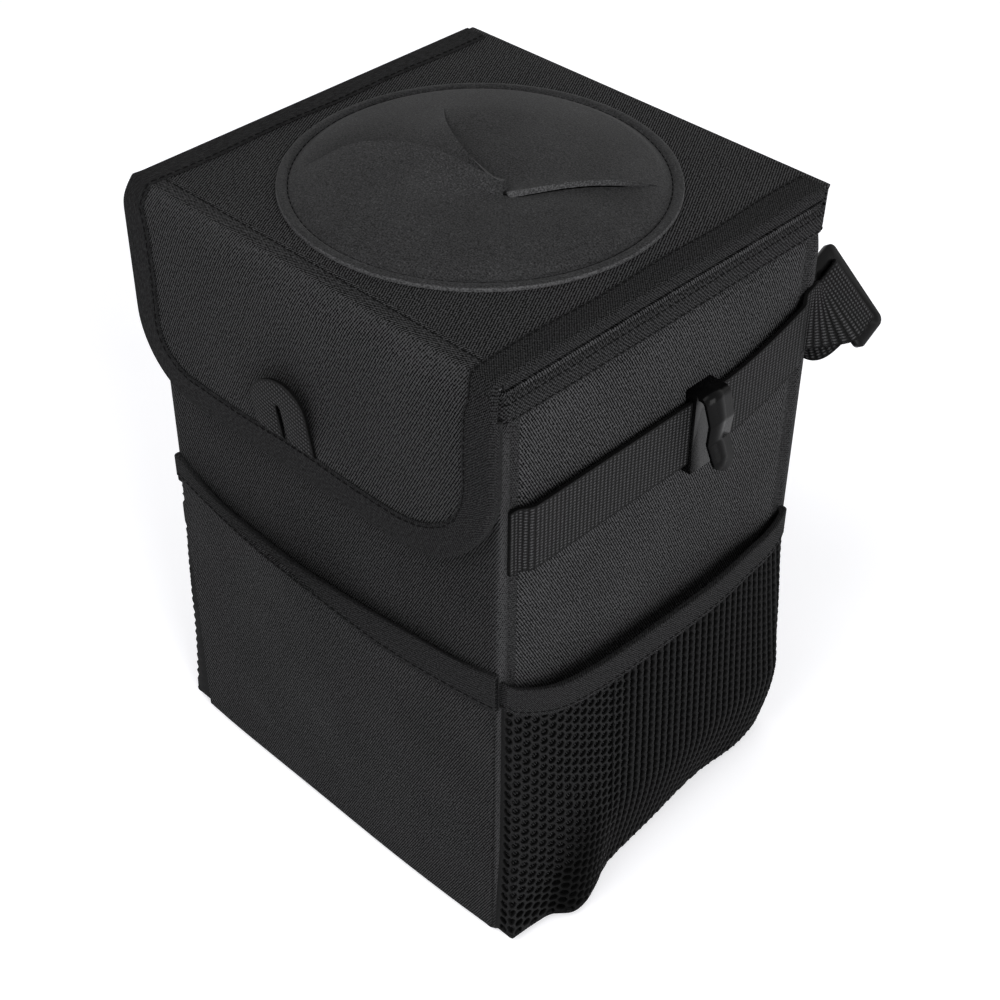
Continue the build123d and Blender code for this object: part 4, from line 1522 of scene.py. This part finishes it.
def dome(x, y):
    """Height of the petals over the lid: puffed up inside the sewn ring and sunk at the crossing."""
    far = np.clip(np.hypot(x, y) / rim_ring, 0, 1)
    near = np.hypot(x - crossing[0], y - crossing[1])
    sink = crossing_sink * np.exp(-((near / sink_reach) ** 2))
    drop = dome_edge_drop * smooth((far - dome_edge_share) / dome_edge_fade)
    return petal_thick + dome_rise * (1 - far**dome_power) - sink - drop


def petal(k):
    """One of the four petals, raised along one slit and tucked under its neighbour at the other."""
    after = (k + 1) % len(slits)
    share = np.concatenate([np.linspace(0.012, 0.9, 36), np.linspace(0.92, 1, 8)])
    turns = np.concatenate([[0, 0.004], np.linspace(0.02, 1, 42)])
    r, s = np.meshgrid(share, turns, indexing="ij")
    low, high = slit_spot(k, r), slit_spot(after, r)
    sweep = (slits[after][0] - slits[k][0]) % 360
    turn = np.radians(slits[k][0] + sweep * s)
    rim_spot = np.stack([np.cos(turn), np.sin(turn)], 2) * rim_ring
    straight = np.array(crossing) * (1 - r[..., None]) + rim_spot * r[..., None]
    bend = (low - straight[:, :1]) * (1 - s[..., None]) ** 2
    plan = straight + bend + (high - straight[:, -1:]) * s[..., None] ** 2
    first = smooth((slits[k][2] - r) / slit_fade)
    last = smooth((slits[after][2] - r) / slit_fade)
    rise = slits[k][3] * (1 - s) ** 3 * first - slits[after][4] * s**3 * last
    inward = np.array(crossing) - rim_spot
    across = unit(np.stack([-inward[..., 1], inward[..., 0]], 2))
    opening = (1 - s) ** 8 * (first > 0) * (k != closed_slit)
    gap = slit_gap * (opening - s**8 * (last > 0) * (after != closed_slit))
    plan = plan - across * gap[..., None]
    x, y = plan[..., 0], plan[..., 1]
    points = grid_of(x, y + chute_middle, lid_top + dome(x, y) + rise)
    # Painted highlight where the petal is puffed and painted shade where it is creased
    puff_highlight = petal_light_and_shade[k][0] * first * ((s == 0) if k == 0 else (1 - s) ** 2)
    crease_shade = petal_light_and_shade[k][1] * last * s**4
    return shell(points, petal_thick, weave=points[:, :, :2], relief=1 + puff_highlight + crease_shade)


def chute_ring():
    """Flat ring sewn to the lid, with a groove along its stitches and a round outer edge."""
    turn = np.linspace(0, 2 * pi, 145)[:-1]
    top = lid_top + ring_thick
    section = [
        (rim_ring - 0.4, top - 0.6), (rim_ring + 0.4, top - 0.9), (rim_ring + 1.0, top - 0.2),
        (rim_ring + 1.8, top + 0.2), (chute_radius - 1.1, top + 0.15), (chute_radius - 0.45, top),
        (chute_radius - 0.1, top - 0.3), (chute_radius, top - 0.8), (chute_radius, lid_top + 0.05),
    ]
    radius, z = np.array(section).T
    x = radius * np.cos(turn)[:, None]
    y = chute_middle + radius * np.sin(turn)[:, None]
    return grid_of(x, y, z)[::-1]


ring_points = chute_ring()
ring_cut = np.ones(ring_points.shape[:2])
ring_cut[:, -3:] = cut_tone
ring_patch = shell(ring_points, ring_shell, wrap=True, weave=ring_points[:, :, :2], relief=ring_cut)
chute_patches = [petal(k) for k in range(len(slits))] + [ring_patch]
chute = add("chute_petals", chute_patches, neoprene_grey, "lid", "neoprene_sheet", "chute_disc", sharp=50)
ring_line = closed(ring_points[:, 1])
ring_row = stitches(ring_line, np.tile([0, 0, 1.0], (len(ring_line), 1)))
add("chute_stitches", [ring_row], thread_black, "lid", "neoprene_sheet")


# Rigid parts keep their CAD shapes

same_point = 0.001
moulding_sharp = 65.0


def moulding(node, body, slot, material):
    """Adds a copy of a rigid part's CAD shape whose rounds shade smoothly."""
    mesh = frame["nodes"][node].data.copy()
    work = bmesh.new()
    work.from_mesh(mesh)
    bmesh.ops.remove_doubles(work, verts=work.verts, dist=same_point * METRES)
    work.to_mesh(mesh)
    work.free()
    mesh.materials.clear()
    mesh.materials.append(material)
    mesh.shade_smooth()
    mesh.set_sharp_from_angle(angle=radians(moulding_sharp))
    dress(add_object(node + "_moulding", mesh), body, slot, node)


moulding("right_clip", "clip_right", "clip_plastic", clip_black)
moulding("left_clip", "clip_left", "clip_plastic", clip_black)
moulding("strap_buckle", "bin", "buckle_plastic", buckle_black)
for place in ("front", "back", "left", "right", "base", "lid", "flap"):
    board = frame["nodes"][place + "_board"]
    board.data.materials.clear()
    board.data.materials.append(board_grey)


# Floor, light and camera

white = (1, 1, 1, 1)
floor_size = 6.0
floor_grey = 0.92
floor_glow = 0.3
floor_drop = 0.0002
floor_mesh = bpy.data.meshes.new("floor")
floor_corners = [(x * floor_size, y * floor_size, 0) for x, y in ((-1, -1), (1, -1), (1, 1), (-1, 1))]
floor_mesh.from_pydata(floor_corners, [], [(0, 1, 2, 3)])
floor = add_object("floor", floor_mesh)
floor.location.z = -floor_drop
floor_finish = Finish("pale_floor", 0.9, specular=0.1)
floor_cloud = floor_finish.noise(floor_finish.object_place(), 30.0)
floor_finish.colour(floor_cloud, (0.3, floor_grey - 0.01), (0.7, floor_grey))
floor_finish.put(floor_finish.surface["Emission Color"], white)
floor_finish.put(floor_finish.surface["Emission Strength"], floor_finish.watched() * floor_glow)
floor_mesh.materials.append(floor_finish.material)

ambient = 0.45
world = bpy.data.worlds.new("studio")
world.use_nodes = True
bpy.context.scene.world = world
sky = Nodes(world.node_tree)
backdrop = sky.tree.nodes["Background"].inputs
sky.put(backdrop["Color"], white)
sky.put(backdrop["Strength"], sky.between(sky.watched(), ambient, 1.0))

lamp_aim = Vector((0, 0, 0.13))


def softbox(name, place, size, power):
    """A square lamp that looks at the middle of the bin."""
    lamp = bpy.data.lights.new(name, "AREA")
    lamp.size = size
    lamp.energy = power
    holder = add_object(name, lamp)
    holder.location = place
    holder.rotation_euler = (lamp_aim - Vector(place)).to_track_quat("-Z", "Y").to_euler()


softbox("key_light", (1.8, -0.4, 0.75), 1.3, 40)
softbox("top_light", (-0.2, -1.2, 1.6), 1.4, 19)

camera_azimuth = radians(43.884)
camera_elevation = radians(39.527)
camera_roll = radians(0.564)
camera_distance = 0.667316
camera_aim = Vector((0.014626, -0.006358, 0.123))
camera_lens = 66.65
camera_sensor = 36.0

back = Vector((
    sin(camera_azimuth) * cos(camera_elevation),
    -cos(camera_azimuth) * cos(camera_elevation),
    sin(camera_elevation),
))
level_right = Vector((cos(camera_azimuth), sin(camera_azimuth), 0))
level_up = back.cross(level_right)
right = level_right * cos(camera_roll) + level_up * sin(camera_roll)
up = level_up * cos(camera_roll) - level_right * sin(camera_roll)
place = camera_aim + back * camera_distance
camera_data = bpy.data.cameras.new("camera")
camera_data.lens = camera_lens
camera_data.sensor_width = camera_sensor
camera = add_object("camera", camera_data)
camera.matrix_world = Matrix((
    (right.x, up.x, back.x, place.x),
    (right.y, up.y, back.y, place.y),
    (right.z, up.z, back.z, place.z),
    (0, 0, 0, 1),
))
bpy.context.scene.camera = camera
bpy.context.scene.view_settings.view_transform = "Standard"
